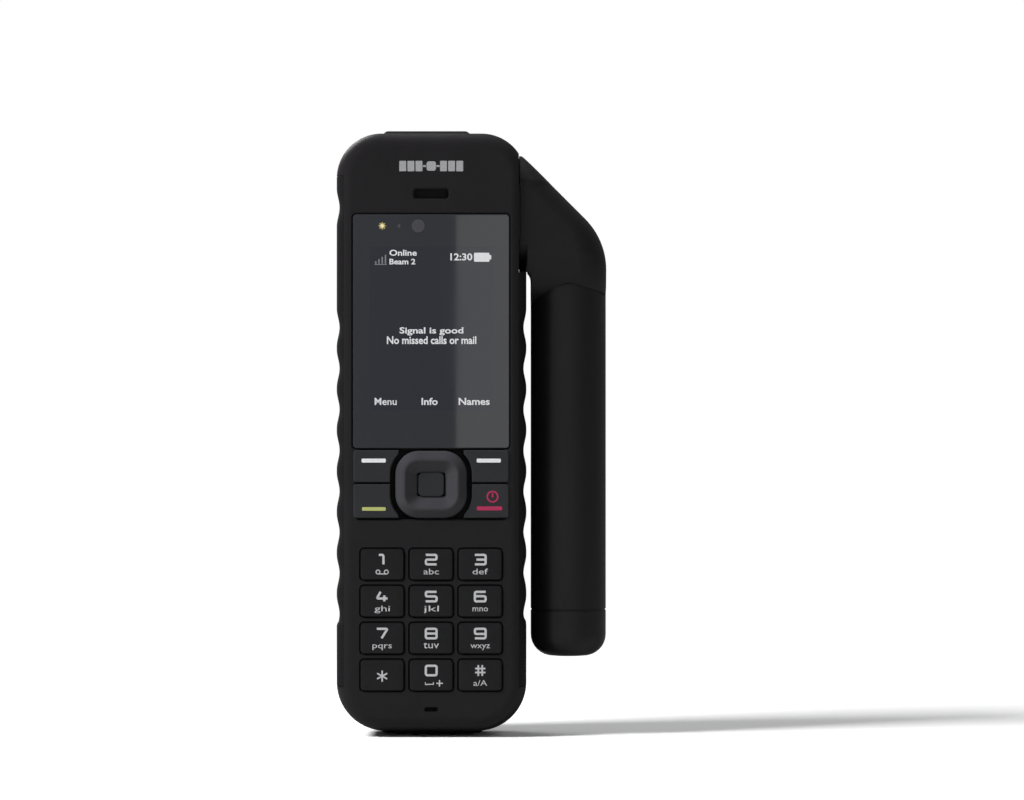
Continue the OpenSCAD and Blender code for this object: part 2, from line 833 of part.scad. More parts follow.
module assist_cover() {
    top_z = body_z1 + top_rise;
    color(rubber) {
        slab_y(lid_y0, lid_hinge_y) polygon([[assist_x0, assist_low_z], [assist_x0, body_z1],
            [assist_x0 + assist_slope, top_z], [assist_x1 - assist_slope, top_z],
            [assist_x1, body_z1], [assist_x1, assist_low_z]]);
        rod_x(lid_hinge_y, assist_hinge_z, lid_barrel_r, assist_x0 + 2, assist_x1 - 2);
    }
}

module assist_button() {
    in_z = body_z1 - cavity_inset;
    color([0.7, 0.16, 0.14]) translate([assist_x, 0, 0]) {
        translate([0, 0, in_z - 1]) cylinder(r = assist_button_r, h = assist_low_z - 0.3 - in_z + 1);
        translate([0, 0, in_z - 1]) cylinder(r = assist_button_r + assist_flange[0], h = assist_flange[1]);
    }
}

module port_flap() {
    color(rubber) {
        block([-flap_x, lid_y0, body_z0 - flap_drop], [flap_x, lid_hinge_y, flap_top_z]);
        block([flap_lip_x[0], flap_lip_y[0], 0], [flap_lip_x[1], flap_lip_y[1], body_z0]);
        rod_x(lid_hinge_y, flap_hinge_z, lid_barrel_r, -flap_x + 2, flap_x - 2);
    }
}

module antenna_port_cap() {
    color(rubber) {
        slab_y(back_y - cap_t, back_y - 0.2) translate([port_x, port_z]) round_rect(cap_size, 1.5);
        translate([cap_hinge_x, back_y - cap_t + cap_barrel_r, port_z - 4]) cylinder(r = cap_barrel_r, h = 8);
    }
}

// ---- battery ----

module battery_cover() {
    mid_z = (cover_z0 + cover_z1) / 2;
    cover_h = cover_z1 - cover_z0;
    color(black) difference() {
        intersection() {
            slab_y(cover_y0, cover_y1) translate([0, mid_z]) round_rect([cover_w, cover_h], cover_r);
            linear_extrude(body_z1) translate([0, cover_y1 - cover_form_d / 2])
                round_rect([cover_w, cover_form_d], cover_edge_r);
            slab_x(-cover_w, cover_w) translate([cover_y1 - cover_form_d / 2, mid_z])
                round_rect([cover_form_d, cover_h], cover_edge_r);
        }
        block([-pack_w / 2 - 0.3, back_y - past, pack_z0 - 0.4],
            [pack_w / 2 + 0.3, cover_y1 - cover_wall, pack_z0 + pack_h + 0.4]);
        rod_y(0, screw_z, screw_shank_r + fit, back_y - past, cover_y1 + past);
        rod_y(0, screw_z, screw_head_r + 2 * fit,
            cover_y1 - screw_head_t - screw_sunk - fit, cover_y1 + past);
    }
}

module cover_screw() {
    head_y = cover_y1 - screw_head_t - screw_sunk;
    color(metal) difference() {
        union() {
            rod_y(0, screw_z, screw_head_r, head_y, head_y + screw_head_t);
            rod_y(0, screw_z, screw_shank_r, parting_y + 0.5, head_y + 0.5);
        }
        block([-screw_head_r - past, head_y + screw_head_t - screw_slot[1], screw_z - screw_slot[0] / 2],
            [screw_head_r + past, cover_y1, screw_z + screw_slot[0] / 2]);
    }
}

module battery_pack() {
    color([0.18, 0.18, 0.2])
        block([-pack_w / 2, pack_y0, pack_z0], [pack_w / 2, pack_y0 + pack_d, pack_z0 + pack_h]);
}

// ---- antenna ----

// Front view of the arm, drawn in X and Z: a slanted shoulder that turns down through one large arc
module arm_outline() {
    corner = [arm_x1 - arm_corner_r, arm_corner_z];
    slant = corner[0] + corner[1] + arm_corner_r * sqrt(2);     // X plus Z along the slanted shoulder
    arc = [for (angle = [45:-5:0]) corner + arm_corner_r * [cos(angle), sin(angle)]];
    polygon(concat([[arm_rim_x, slit_top_z - past], [arm_rim_x, slant - arm_rim_x]], arc,
        [[arm_x1, arm_low_z], [arm_inner_x, arm_low_z], [arm_inner_x, slit_low_z],
        [arm_relief_x, slit_top_z]]));
}

// Side view of the arm, drawn in Y and Z: a large round at the hub, a smaller one below it.
// The straight sides run a little inside the common tangents, so that they cross both rounds.
module arm_profile() {
    lean = asin((hub_r - arm_lower_r) / (hub_z - arm_lower_z));
    upper = (hub_r - arm_side_in) * [cos(lean), -sin(lean)] + [0, hub_z];
    lower = (arm_lower_r - arm_side_in) * [cos(lean), -sin(lean)] + [0, arm_lower_z];
    translate([0, hub_z]) circle(hub_r);
    translate([0, arm_lower_z]) circle(arm_lower_r);
    polygon([lower, upper, [-upper[0], upper[1]], [-lower[0], lower[1]]]);
}

// Plan of the arm: square at the hub, round on the outer side
module arm_plan() {
    depth = 2 * arm_half_d + past;
    translate([arm_rim_x, -depth / 2]) square([arm_x1 - arm_rim_x - arm_edge_r, depth]);
    translate([arm_x1 - 2 * arm_edge_r, 0]) intersection() {
        round_rect([4 * arm_edge_r, depth], arm_edge_r);
        translate([0, -depth]) square([3 * arm_edge_r, 2 * depth]);
    }
}

module arm_form() {
    intersection() {
        slab_y(-arm_half_d, arm_half_d) arm_outline();
        slab_x(arm_rim_x, arm_x1) arm_profile();
        linear_extrude(body_z1) arm_plan();
    }
}

// Beside the housing only the round hub is left of the arm, so that it swings clear of the grip.
// A shallow recess in the hub's face leaves the rim that reaches round the housing's step.
module arm_relief() {
    difference() {
        rod_x(0, hub_z, 2 * hub_r, arm_rim_x - past, arm_relief_x);
        rod_x(0, hub_z, arm_relief_r, arm_rim_x - 2 * past, arm_relief_x + past);
    }
    rod_x(0, hub_z, hub_step_r + fit, arm_rim_x - past, arm_x0);
}

module arm_half(side) {
    color(black) difference() {
        arm_form();
        arm_relief();
        block([0, side > 0 ? -body_d : -halves_gap / 2, arm_low_z - past],
            [arm_x1 + past, side > 0 ? halves_gap / 2 : body_d, body_z1]);
        rod_x(0, hub_z, shaft_r + seat, arm_x0 - past, shaft_x1 + fit);
        rod_x(0, hub_z, shaft_bore_r, shaft_x1, coax_drop_x + coax_way_r - 0.5);
        translate([coax_drop_x, 0, neck_z1 - past]) cylinder(r = coax_way_r, h = hub_z - neck_z1 + past);
        translate([tube_x, 0, arm_low_z - past])
            cylinder(r = tube_r + arm_tube_gap, h = shoulder_z + fit - arm_low_z + past);
        translate([tube_x, 0, shoulder_z - past])
            cylinder(r = neck_r + seat, h = neck_z1 + fit - shoulder_z + past);
    }
}

module arm_front() arm_half(-1);
module arm_rear() arm_half(1);

module radome() {
    inner_r = tube_r - tube_wall;
    color(black) translate([tube_x, 0, tube_low_z]) difference() {
        union() {
            rotate_extrude() {
                square([tube_r - tube_end_r, tube_end_r]);
                translate([0, tube_end_r]) square([tube_r, shoulder_z - tube_low_z - tube_end_r]);
                intersection() {
                    translate([tube_r - tube_end_r, tube_end_r]) circle(tube_end_r);
                    square([tube_r, tube_end_r + past]);
                }
            }
            translate([0, 0, tube_end_r]) cylinder(r = neck_r, h = neck_z1 - tube_low_z - tube_end_r);
        }
        translate([0, 0, tube_end_r]) cylinder(r = inner_r, h = shoulder_z - tube_low_z - tube_end_r - 2);
        translate([0, 0, tube_end_r]) cylinder(r = neck_r - tube_wall, h = neck_z1 - tube_low_z);
    }
}

module antenna_core() {
    color("ivory") translate([tube_x, 0, core_z0]) difference() {
        union() {
            cylinder(r = core_r, h = core_z1 - core_z0);
            for (z = [0, core_z1 - core_z0 - core_flange_t])
                translate([0, 0, z]) cylinder(r = tube_r - tube_wall - fit, h = core_flange_t);
        }
        translate([0, 0, -past]) cylinder(r = core_bore_r, h = core_z1 - core_z0 + 2 * past);
    }
}

module antenna_helix() {
    color("peru") for (i = [0:helix_strips - 1])
        translate([tube_x, 0, helix_z0]) rotate(i * 360 / helix_strips)
            linear_extrude(helix_h, twist = -helix_turn, slices = 40, $fn = 4)
                translate([core_r + 0.06, -helix_strip[0] / 2]) square([helix_strip[1], helix_strip[0]]);
}

module hinge_shaft() {
    color(metal) difference() {
        rod_x(0, hub_z, shaft_r, shaft_x0, shaft_x1);
        rod_x(0, hub_z, shaft_bore_r, shaft_x0 - past, shaft_x1 + past);
        difference() {
            rod_x(0, hub_z, shaft_r + past, clip_x - seat, clip_x + clip_t + seat);
            rod_x(0, hub_z, clip_groove_r, clip_x - past, clip_x + clip_t + past);
        }
    }
}

module retaining_clip() {
    color(metal) difference() {
        rod_x(0, hub_z, clip_r, clip_x, clip_x + clip_t);
        rod_x(0, hub_z, clip_groove_r + seat, clip_x - past, clip_x + clip_t + past);
        block([clip_x - past, -clip_mouth / 2, hub_z - 2 * shaft_r],
            [clip_x + clip_t + past, clip_mouth / 2, hub_z]);
    }
}

module coax_cable() {
    color("dimgray") {
        rod_x(0, hub_z, coax_r, coax_x0, coax_drop_x - coax_bend_r);
        translate([coax_drop_x - coax_bend_r, 0, hub_z - coax_bend_r]) rotate([90, 0, 0])
            rotate_extrude(angle = 90) translate([coax_bend_r, 0]) circle(coax_r);
        translate([coax_drop_x, 0, coax_end_z]) cylinder(r = coax_r, h = hub_z - coax_bend_r - coax_end_z);
    }
}

front_housing();
rear_housing();
side_grip_left();
side_grip_right();
housing_seal();
display_window();
display_panel();
status_led();
light_sensor();
earpiece_speaker();
earpiece_mesh();
microphone();
keypad_mat();
main_board();
shield_cans();
loudspeaker();
usb_socket();
headset_socket();
antenna_port();
battery_contacts();
sim_holder();
case_screws();
hinge_bush();
hinge_seal();
key_1();
key_2();
key_3();
key_4();
key_5();
key_6();
key_7();
key_8();
key_9();
key_star();
key_0();
key_hash();
soft_key_left();
soft_key_right();
call_key();
end_key();
nav_pad();
nav_ring();
select_key();
volume_rocker();
assist_cover();
assist_button();
port_flap();
antenna_port_cap();
battery_cover();
cover_screw();
battery_pack();
sim_lid();
arm_front();
arm_rear();
radome();
antenna_core();
antenna_helix();
hinge_shaft();
retaining_clip();
coax_cable();
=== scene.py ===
"""Looks of a handheld satellite telephone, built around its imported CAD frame.

Shapes are worked out in millimetres in the frame's axes and stored in metres. The keypad faces -Y,
+Z runs up the handset and the antenna stands at +X. Every piece rides on the CAD body it belongs to.
"""

import math

import bmesh
import bpy
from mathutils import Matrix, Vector


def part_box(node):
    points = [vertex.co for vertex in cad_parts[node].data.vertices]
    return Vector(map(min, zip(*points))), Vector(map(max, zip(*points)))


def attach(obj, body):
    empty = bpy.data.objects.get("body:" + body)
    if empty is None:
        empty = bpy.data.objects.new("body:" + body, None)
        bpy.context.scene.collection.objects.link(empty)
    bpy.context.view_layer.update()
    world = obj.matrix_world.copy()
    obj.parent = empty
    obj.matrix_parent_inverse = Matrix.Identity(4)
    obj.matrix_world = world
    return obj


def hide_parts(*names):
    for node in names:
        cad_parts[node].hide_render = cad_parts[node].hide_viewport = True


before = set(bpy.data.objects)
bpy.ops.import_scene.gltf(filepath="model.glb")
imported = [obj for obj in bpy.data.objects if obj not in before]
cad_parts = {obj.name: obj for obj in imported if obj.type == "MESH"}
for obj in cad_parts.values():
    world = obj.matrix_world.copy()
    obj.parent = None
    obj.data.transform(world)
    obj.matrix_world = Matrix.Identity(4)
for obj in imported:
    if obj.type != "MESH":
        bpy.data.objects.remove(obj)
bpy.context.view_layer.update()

MM = 0.001
QUARTER = math.pi / 2


def node_box(name):
    """Lowest and highest corner of a CAD node, in millimetres."""
    low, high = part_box(name)
    return low / MM, high / MM


# ---- sizes taken from the frame ----

FACE_Y = node_box("front_housing")[0].y
BACK_Y = node_box("rear_housing")[1].y
PARTING_Y = node_box("front_housing")[1].y
BODY_HALF_W = -node_box("side_grip_left")[0].x
BODY_Z0 = node_box("front_housing")[0].z
BODY_Z1 = node_box("front_housing")[1].z
GRIP_INNER_X = node_box("side_grip_right")[0].x
GRIP_Z0 = node_box("side_grip_left")[0].z
HUB_SIDE_X = node_box("hinge_bush")[1].x
WINDOW_LOW, WINDOW_HIGH = node_box("display_window")
NAV_LOW, NAV_HIGH = node_box("nav_ring")
NAV_Z = (NAV_LOW.z + NAV_HIGH.z) / 2
HUB_Z = sum(c.z for c in node_box("hinge_shaft")) / 2
ARM_X0 = node_box("arm_front")[0].x
ARM_X1 = node_box("arm_front")[1].x
TUBE_LOW, TUBE_HIGH = node_box("radome")
TUBE_X = (TUBE_LOW.x + TUBE_HIGH.x) / 2
TUBE_R = (TUBE_HIGH.x - TUBE_LOW.x) / 2

# ---- shape choices, in millimetres ----

FRONT_EDGE_R = 4.5
REAR_EDGE_R = 8
CORNER_TOP_R = 12.5
CORNER_LOW_R = 13.6
CAVITY_INSET = 3.7
FRONT_WALL = 2.4
REAR_WALL = 2.0
HUB_SIDE_Z = 129.5
LIP = 0.3                   # chamfer round every opening

SCALLOP_DEPTH = 0.78
SCALLOP_PITCH = 11.4
SCALLOP_HALF = 5.3
SCALLOP_Z0 = 34.1
SCALLOP_COUNT = 8
UPPER_SCALLOP_Z = 147.3
PAD_TOP_Z = 31.2

HUB_R = 16.3
HUB_STEP = 0.35             # the round step beside the arm, which its rim reaches round
HUB_GAP = 0.09
HUB_STEP_R = HUB_R - 0.7
ARM_HALF_DEPTH = 13.8
ARM_LOWER_R = 12.7
ARM_LOWER_Z = 133
ARM_CORNER_R = 20.4
ARM_CORNER_Z = 130
SLIT_TOP_Z = 129.6
ARM_RELIEF_X = BODY_HALF_W + 0.3
SLIT_LOW_Z = 126.9


# ---- solids: each is (vertices in millimetres, faces) ----

def front_face(u, v, w):
    return (u, -w, v)


def back_face(u, v, w):
    return (u, w, v)


def left_face(u, v, w):
    return (-w, u, v)


def right_face(u, v, w):
    return (w, u, v)


def top_face(u, v, w):
    return (u, v, w)


def bottom_face(u, v, w):
    return (u, v, -w)


def skin(rings):
    """A closed solid through rings that all have the same number of points."""
    count = len(rings[0])
    verts = [point for ring in rings for point in ring]
    faces = [tuple(range(count))]
    for r in range(len(rings) - 1):
        here, there = r * count, (r + 1) * count
        for i in range(count):
            j = (i + 1) % count
            faces.append((here + i, here + j, there + j, there + i))
    last = (len(rings) - 1) * count
    faces.append(tuple(range(last, last + count)))
    return verts, faces


def loop_skin(rings):
    """A closed ring-shaped solid through rings of points, the last joined to the first."""
    count = len(rings[0])
    faces = []
    for r in range(len(rings)):
        here, there = r * count, (r + 1) % len(rings) * count
        for i in range(count):
            j = (i + 1) % count
            faces.append((here + i, here + j, there + j, there + i))
    return [point for ring in rings for point in ring], faces


def rect(centre, size, radius, corner_points=8):
    """Outline of a rectangle with round corners, as a function of how far it grows."""
    def grown(grow):
        half_w = size[0] / 2 + grow
        half_h = size[1] / 2 + grow
        r = max(0.02, min(radius + grow, half_w - 0.01, half_h - 0.01))
        points = []
        for quarter, (sx, sz) in enumerate(((1, 1), (-1, 1), (-1, -1), (1, -1))):
            for k in range(corner_points + 1):
                angle = (quarter + k / corner_points) * QUARTER
                points.append((centre[0] + sx * (half_w - r) + r * math.cos(angle),
                               centre[1] + sz * (half_h - r) + r * math.sin(angle)))
        return points
    return grown


def disc(centre, radius, points=48):
    """Outline of a circle, as a function of how far it grows."""
    def grown(grow):
        r = max(0.01, radius + grow)
        return [(centre[0] + r * math.cos(2 * math.pi * i / points),
                 centre[1] + r * math.sin(2 * math.pi * i / points)) for i in range(points)]
    return grown


def free_outline(points):
    """Any anticlockwise outline, as a function of how far it grows."""
    count = len(points)

    def grown(grow):
        moved = []
        for i in range(count):
            before, here, after = (Vector(points[(i + k) % count]) for k in (-1, 0, 1))
            a = (here - before).normalized()
            b = (after - here).normalized()
            normal = Vector((a.y + b.y, -a.x - b.x))
            reach = normal.length_squared / 2
            moved.append(tuple(here + normal * (grow / max(reach, 0.4))))
        return moved
    return grown


def plate(outline, profile, place):
    """A solid whose outline grows and moves outwards as (grow, height) pairs in profile say."""
    return skin([[place(u, v, height) for u, v in outline(grow)] for grow, height in profile])


def rounded_edge(height, radius, steps=5):
    """Profile of a round outer edge that ends at a height."""
    return [(-radius * (1 - math.cos(k / steps * QUARTER)), height - radius * (1 - math.sin(k / steps * QUARTER)))
            for k in range(steps + 1)]


def crowned(height, radius, crown, reach, steps=5):
    """Profile of a round edge that goes on into a low crown over the given reach."""
    edge = rounded_edge(height - crown, radius, steps)
    rise = [(-radius - reach * k / 4, height - crown + crown * math.sin(k / 4 * QUARTER)) for k in range(1, 5)]
    return edge + rise


def opening(outline, surface, floor, place, lip=LIP):
    """A cutter with a chamfered mouth at a surface."""
    mouth = [(lip + 1, surface + 1), (lip, surface), (0, surface - lip)] if lip else [(0, surface + 1)]
    return plate(outline, mouth + [(0, floor)], place)


def box_solid(low, high):
    centre = ((low[0] + high[0]) / 2, (low[1] + high[1]) / 2)
    size = (high[0] - low[0], high[1] - low[1])
    corners = [(centre[0] + sx * size[0] / 2, centre[1] + sy * size[1] / 2)
               for sx, sy in ((1, 1), (-1, 1), (-1, -1), (1, -1))]
    return skin([[(x, y, z) for x, y in corners] for z in (low[2], high[2])])


def rod(centre, radius, ends, place, points=48):
    """A round bar along a face's outward axis, with a fine chamfer at both ends."""
    chamfer = min(0.15, radius / 5)
    low, high = ends
    profile = [(-chamfer, low), (0, low + chamfer), (0, high - chamfer), (-chamfer, high)]
    return plate(disc(centre, radius, points), profile, place)


# ---- strokes and lettering ----

def rounded_path(points, radius, closed=False, steps=4):
    """The path with each of its corners turned into a small arc."""
    points = [Vector(p) for p in points]
    count = len(points)
    path = []
    for i, here in enumerate(points):
        if not closed and i in (0, count - 1):
            path.append(here)
            continue
        before, after = points[i - 1], points[(i + 1) % count]
        reach = min(radius, (here - before).length / 2, (after - here).length / 2)
        start = here + (before - here).normalized() * reach
        end = here + (after - here).normalized() * reach
        for k in range(steps + 1):
            t = k / steps
            path.append(start * (1 - t) ** 2 + here * 2 * t * (1 - t) + end * t * t)
    return path


def ribbon(points, width, heights, place, radius=0.0, closed=False):
    """A flat raised stroke of one width along a path."""
    path = rounded_path(points, radius, closed) if radius else [Vector(p) for p in points]
    count = len(path)
    sides = []
    for i, here in enumerate(path):
        before = path[i - 1] if closed or i > 0 else here
        after = path[(i + 1) % count] if closed or i < count - 1 else here
        a = (here - before).normalized() if (here - before).length > 1e-6 else (after - here).normalized()
        b = (after - here).normalized() if (after - here).length > 1e-6 else a
        normal = Vector((-a.y - b.y, a.x + b.x))
        across = normal * (width / 2 / max(normal.length_squared / 2, 0.5))
        sides.append((here + across, here - across))
    verts = []
    for left, right in sides:
        for w in heights:
            verts.append(place(left.x, left.y, w))
            verts.append(place(right.x, right.y, w))
    faces = []
    for i in range(count if closed else count - 1):
        a, b = 4 * i, 4 * ((i + 1) % count)
        faces.append((a, a + 1, b + 1, b))
        faces.append((a + 2, b + 2, b + 3, a + 3))
        faces.append((a, b, b + 2, a + 2))
        faces.append((a + 1, a + 3, b + 3, b + 1))
    if not closed:
        end = 4 * (count - 1)
        faces.append((0, 2, 3, 1))
        faces.append((end, end + 1, end + 3, end + 2))
    return verts, faces


# Squared digits in a unit cell, as strokes: (points, closed)
DIGITS = {
    "0": [([(0, 0), (1, 0), (1, 1), (0, 1)], True)],
    "1": [([(0.2, 1), (0.62, 1), (0.62, 0)], False)],
    "2": [([(0, 1), (1, 1), (1, 0.5), (0, 0.5), (0, 0), (1, 0)], False)],
    "3": [([(0, 1), (1, 1), (1, 0), (0, 0)], False), ([(0.15, 0.5), (0.95, 0.5)], False)],
    "4": [([(0.36, 1), (0, 0.3), (1, 0.3)], False), ([(0.7, 0.62), (0.7, 0)], False)],
    "5": [([(1, 1), (0, 1), (0, 0.52), (1, 0.52), (1, 0), (0, 0)], False)],
    "6": [([(1, 1), (0, 1), (0, 0), (1, 0), (1, 0.54), (0.1, 0.54)], False)],
    "7": [([(0, 1), (1, 1), (0.45, 0)], False)],
    "8": [([(0, 0), (1, 0), (1, 1), (0, 1)], True), ([(0.05, 0.5), (0.95, 0.5)], False)],
    "9": [([(0, 0), (1, 0), (1, 1), (0, 1), (0, 0.46), (0.9, 0.46)], False)],
    "#": [([(-0.02, 0.3), (1.02, 0.3)], False), ([(-0.02, 0.7), (1.02, 0.7)], False),
          ([(0.3, -0.05), (0.3, 1.05)], False), ([(0.7, -0.05), (0.7, 1.05)], False)],
    "*": [([(0.5, 0), (0.5, 1)], False), ([(0, 0.25), (1, 0.75)], False), ([(0, 0.75), (1, 0.25)], False)],
}
STEP = 0.006                # strokes that cross lie this much above each other


def digit(sign, centre, size, width, heights, place):
    """Strokes of one digit, centred, with size measured over the strokes' outer edges."""
    inner = (size[0] - width, size[1] - width)
    low = (centre[0] - inner[0] / 2, centre[1] - inner[1] / 2)
    solids = []
    for number, (points, closed) in enumerate(DIGITS[sign]):
        placed = [(low[0] + x * inner[0], low[1] + z * inner[1]) for x, z in points]
        lifted = (heights[0], heights[1] + number * STEP)
        solids.append(ribbon(placed, width, lifted, place, radius=width * 0.8, closed=closed))
    return solids


def lettering(text, box, heights, place, bold=0.0):
    """Raised letters that fill a box (u0, v0, u1, v1)."""
    curve = bpy.data.curves.new("lettering", "FONT")
    curve.body = text
    curve.extrude = 0.5
    curve.offset = bold
    curve.resolution_u = 3
    thing = bpy.data.objects.new("lettering", curve)
    bpy.context.scene.collection.objects.link(thing)
    mesh = bpy.data.meshes.new_from_object(thing.evaluated_get(bpy.context.evaluated_depsgraph_get()))
    us = [v.co.x for v in mesh.vertices]
    vs = [v.co.y for v in mesh.vertices]
    scale_u = (box[2] - box[0]) / (max(us) - min(us))
    scale_v = (box[3] - box[1]) / (max(vs) - min(vs))
    verts = [place(box[0] + (v.co.x - min(us)) * scale_u, box[1] + (v.co.y - min(vs)) * scale_v,
                   heights[0] if v.co.z < 0 else heights[1]) for v in mesh.vertices]
    faces = [tuple(p.vertices) for p in mesh.polygons]
    bpy.data.objects.remove(thing)
    bpy.data.curves.remove(curve)
    bpy.data.meshes.remove(mesh)
    return verts, faces


# ---- pieces ----

def mesh_of(name, solids):
    """One mesh from solids, given as (solid, material index) pairs."""
    verts, faces, indices = [], [], []
    for (solid_verts, solid_faces), index in solids:
        base = len(verts)
        verts.extend([tuple(c * MM for c in v) for v in solid_verts])
        faces.extend([tuple(base + i for i in face) for face in solid_faces])
        indices.extend([index] * len(solid_faces))
    mesh = bpy.data.meshes.new(name)
    mesh.from_pydata(verts, [], faces)
    mesh.polygons.foreach_set("material_index", indices)
    work = bmesh.new()
    work.from_mesh(mesh)
    bmesh.ops.remove_doubles(work, verts=work.verts, dist=0.002 * MM)
    bmesh.ops.recalc_face_normals(work, faces=work.faces)
    work.to_mesh(mesh)
    work.free()
    return mesh


def cut(thing, cutters, solver="EXACT"):
    """Takes each cutter out of a mesh object, for good."""
    tools = []
    for number, cutter in enumerate(cutters):
        tool = bpy.data.objects.new(f"cutter_{number}", mesh_of("cutter", [(cutter, 0)]))
        bpy.context.scene.collection.objects.link(tool)
        modifier = thing.modifiers.new("cut", "BOOLEAN")
        modifier.operation = "DIFFERENCE"
        modifier.solver = solver
        modifier.object = tool
        tools.append(tool)
    made = bpy.data.meshes.new_from_object(thing.evaluated_get(bpy.context.evaluated_depsgraph_get()))
    thing.modifiers.clear()
    thing.data = made
    for tool in tools:
        bpy.data.objects.remove(tool)


def piece(name, body, solids, materials, replaces=None, cutters=(), sharp=38, solver="EXACT"):
    """A finished piece: its mesh, its openings, its shading, its materials and the body it rides on."""
    thing = bpy.data.objects.new(name, mesh_of(name, solids))
    bpy.context.scene.collection.objects.link(thing)
    for material in materials:
        thing.data.materials.append(material)
    if cutters:
        cut(thing, cutters, solver)
        thing.data.name = name
    thing.data.shade_smooth()
    thing.data.set_sharp_from_angle(angle=math.radians(sharp))
    modifier = thing.modifiers.new("even shading", "WEIGHTED_NORMAL")
    modifier.keep_sharp = True
    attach(thing, body)
    if replaces:
        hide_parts(*replaces)
    return thing


# ---- materials ----

class Tree:
    """A short way to add and join the nodes of one material."""

    def __init__(self, name, roughness=0.5, metallic=0.0):
        self.material = bpy.data.materials.new(name)
        self.material.use_nodes = True
        self.tree = self.material.node_tree
        self.shader = self.tree.nodes["Principled BSDF"]
        self.shader.inputs["Roughness"].default_value = roughness
        self.shader.inputs["Metallic"].default_value = metallic

    def add(self, kind, inputs=None, **settings):
        node = self.tree.nodes.new(kind)
        for key, value in settings.items():
            setattr(node, key, value)
        for key, value in (inputs or {}).items():
            if isinstance(value, bpy.types.NodeSocket):
                self.tree.links.new(value, node.inputs[key])
            else:
                node.inputs[key].default_value = value
        return node

    def put(self, output, name):
        self.tree.links.new(output, self.shader.inputs[name])

    def place(self, stretch=(1, 1, 1)):
        """The piece's own coordinates in millimetres, each axis divided by its stretch."""
        coords = self.add("ShaderNodeTexCoord").outputs["Object"]
        scale = tuple(1 / MM / s for s in stretch)
        return self.add("ShaderNodeVectorMath", {0: coords, 1: scale}, operation="MULTIPLY").outputs[0]

    def noise(self, place, size, detail=2.0, roughness=0.5):
        inputs = {"Vector": place, "Scale": 1 / size, "Detail": detail, "Roughness": roughness}
        return self.add("ShaderNodeTexNoise", inputs).outputs[0]

    def ramp(self, value, low, high, start=0.3, end=0.7):
        """Mixes two colours or two numbers as a value runs from start to end."""
        node = self.add("ShaderNodeMapRange", {"Value": value, "From Min": start, "From Max": end})
        if isinstance(low, (int, float)):
            node.inputs["To Min"].default_value = low
            node.inputs["To Max"].default_value = high
            return node.outputs[0]
        return self.mix(node.outputs[0], low, high)

    def mix(self, factor, low, high):
        inputs = {0: factor, 6: low, 7: high}
        return self.add("ShaderNodeMix", inputs, data_type="RGBA").outputs[2]

    def maths(self, operation, a, b=0.0, clamp=False):
        return self.add("ShaderNodeMath", {0: a, 1: b}, operation=operation, use_clamp=clamp).outputs[0]

    def bump(self, height, depth, strength=1.0, under=None):
        inputs = {"Height": height, "Distance": depth * MM, "Strength": strength}
        if under is not None:
            inputs["Normal"] = under
        return self.add("ShaderNodeBump", inputs).outputs[0]


def shade(colour, factor):
    return tuple(min(1.0, c * factor) for c in colour) + (1.0,)


def moulded(name, colour, roughness, grain=0.3, depth=0.02, mottle=0.14, specular=0.5, coat=0.0):
    """Moulded plastic or rubber: a fine cast texture with slow changes of tone and gloss."""
    t = Tree(name, roughness)
    place = t.place()
    broad = t.noise(place, 16, detail=4)
    patch = t.noise(place, 3.2, detail=3)
    grains = t.noise(place, grain, detail=3, roughness=0.65)
    tone = t.maths("ADD", t.maths("MULTIPLY", broad, 0.6), t.maths("MULTIPLY", grains, 0.4))
    t.put(t.ramp(tone, shade(colour, 1 - mottle), shade(colour, 1 + mottle)), "Base Color")
    gloss = t.maths("ADD", t.maths("MULTIPLY", patch, 0.5), t.maths("MULTIPLY", grains, 0.5))
    t.put(t.ramp(gloss, roughness - 0.07, min(1.0, roughness + 0.07)), "Roughness")
    t.put(t.bump(grains, depth, 0.8), "Normal")
    t.shader.inputs["Specular IOR Level"].default_value = specular
    t.shader.inputs["Coat Weight"].default_value = coat
    t.shader.inputs["Coat Roughness"].default_value = 0.25
    return t.material


def brushed(name, colour, roughness=0.3, along=(8, 0.12, 0.12)):
    """Drawn or brushed metal, with fine lines along one axis."""
    t = Tree(name, roughness, 1.0)
    lines = t.noise(t.place(along), 1, detail=4, roughness=0.6)
    broad = t.noise(t.place(), 5, detail=2)
    t.put(t.ramp(broad, shade(colour, 0.88), shade(colour, 1.05)), "Base Color")
    t.put(t.ramp(lines, roughness - 0.08, roughness + 0.14), "Roughness")
    t.put(t.bump(lines, 0.004, 0.6), "Normal")
    return t.material


def printed(name, colour, glow=0.0, roughness=0.45):
    """Ink or a backlit legend: slightly uneven in tone, with a faint grain."""
    t = Tree(name, roughness)
    speckle = t.noise(t.place(), 0.35, detail=3, roughness=0.7)
    tint = t.ramp(speckle, shade(colour, 0.86), shade(colour, 1.04))
    t.put(tint, "Base Color")
    if glow:
        t.put(tint, "Emission Color")
        t.shader.inputs["Emission Strength"].default_value = glow
    t.put(t.bump(speckle, 0.01, 0.5), "Normal")
    return t.material


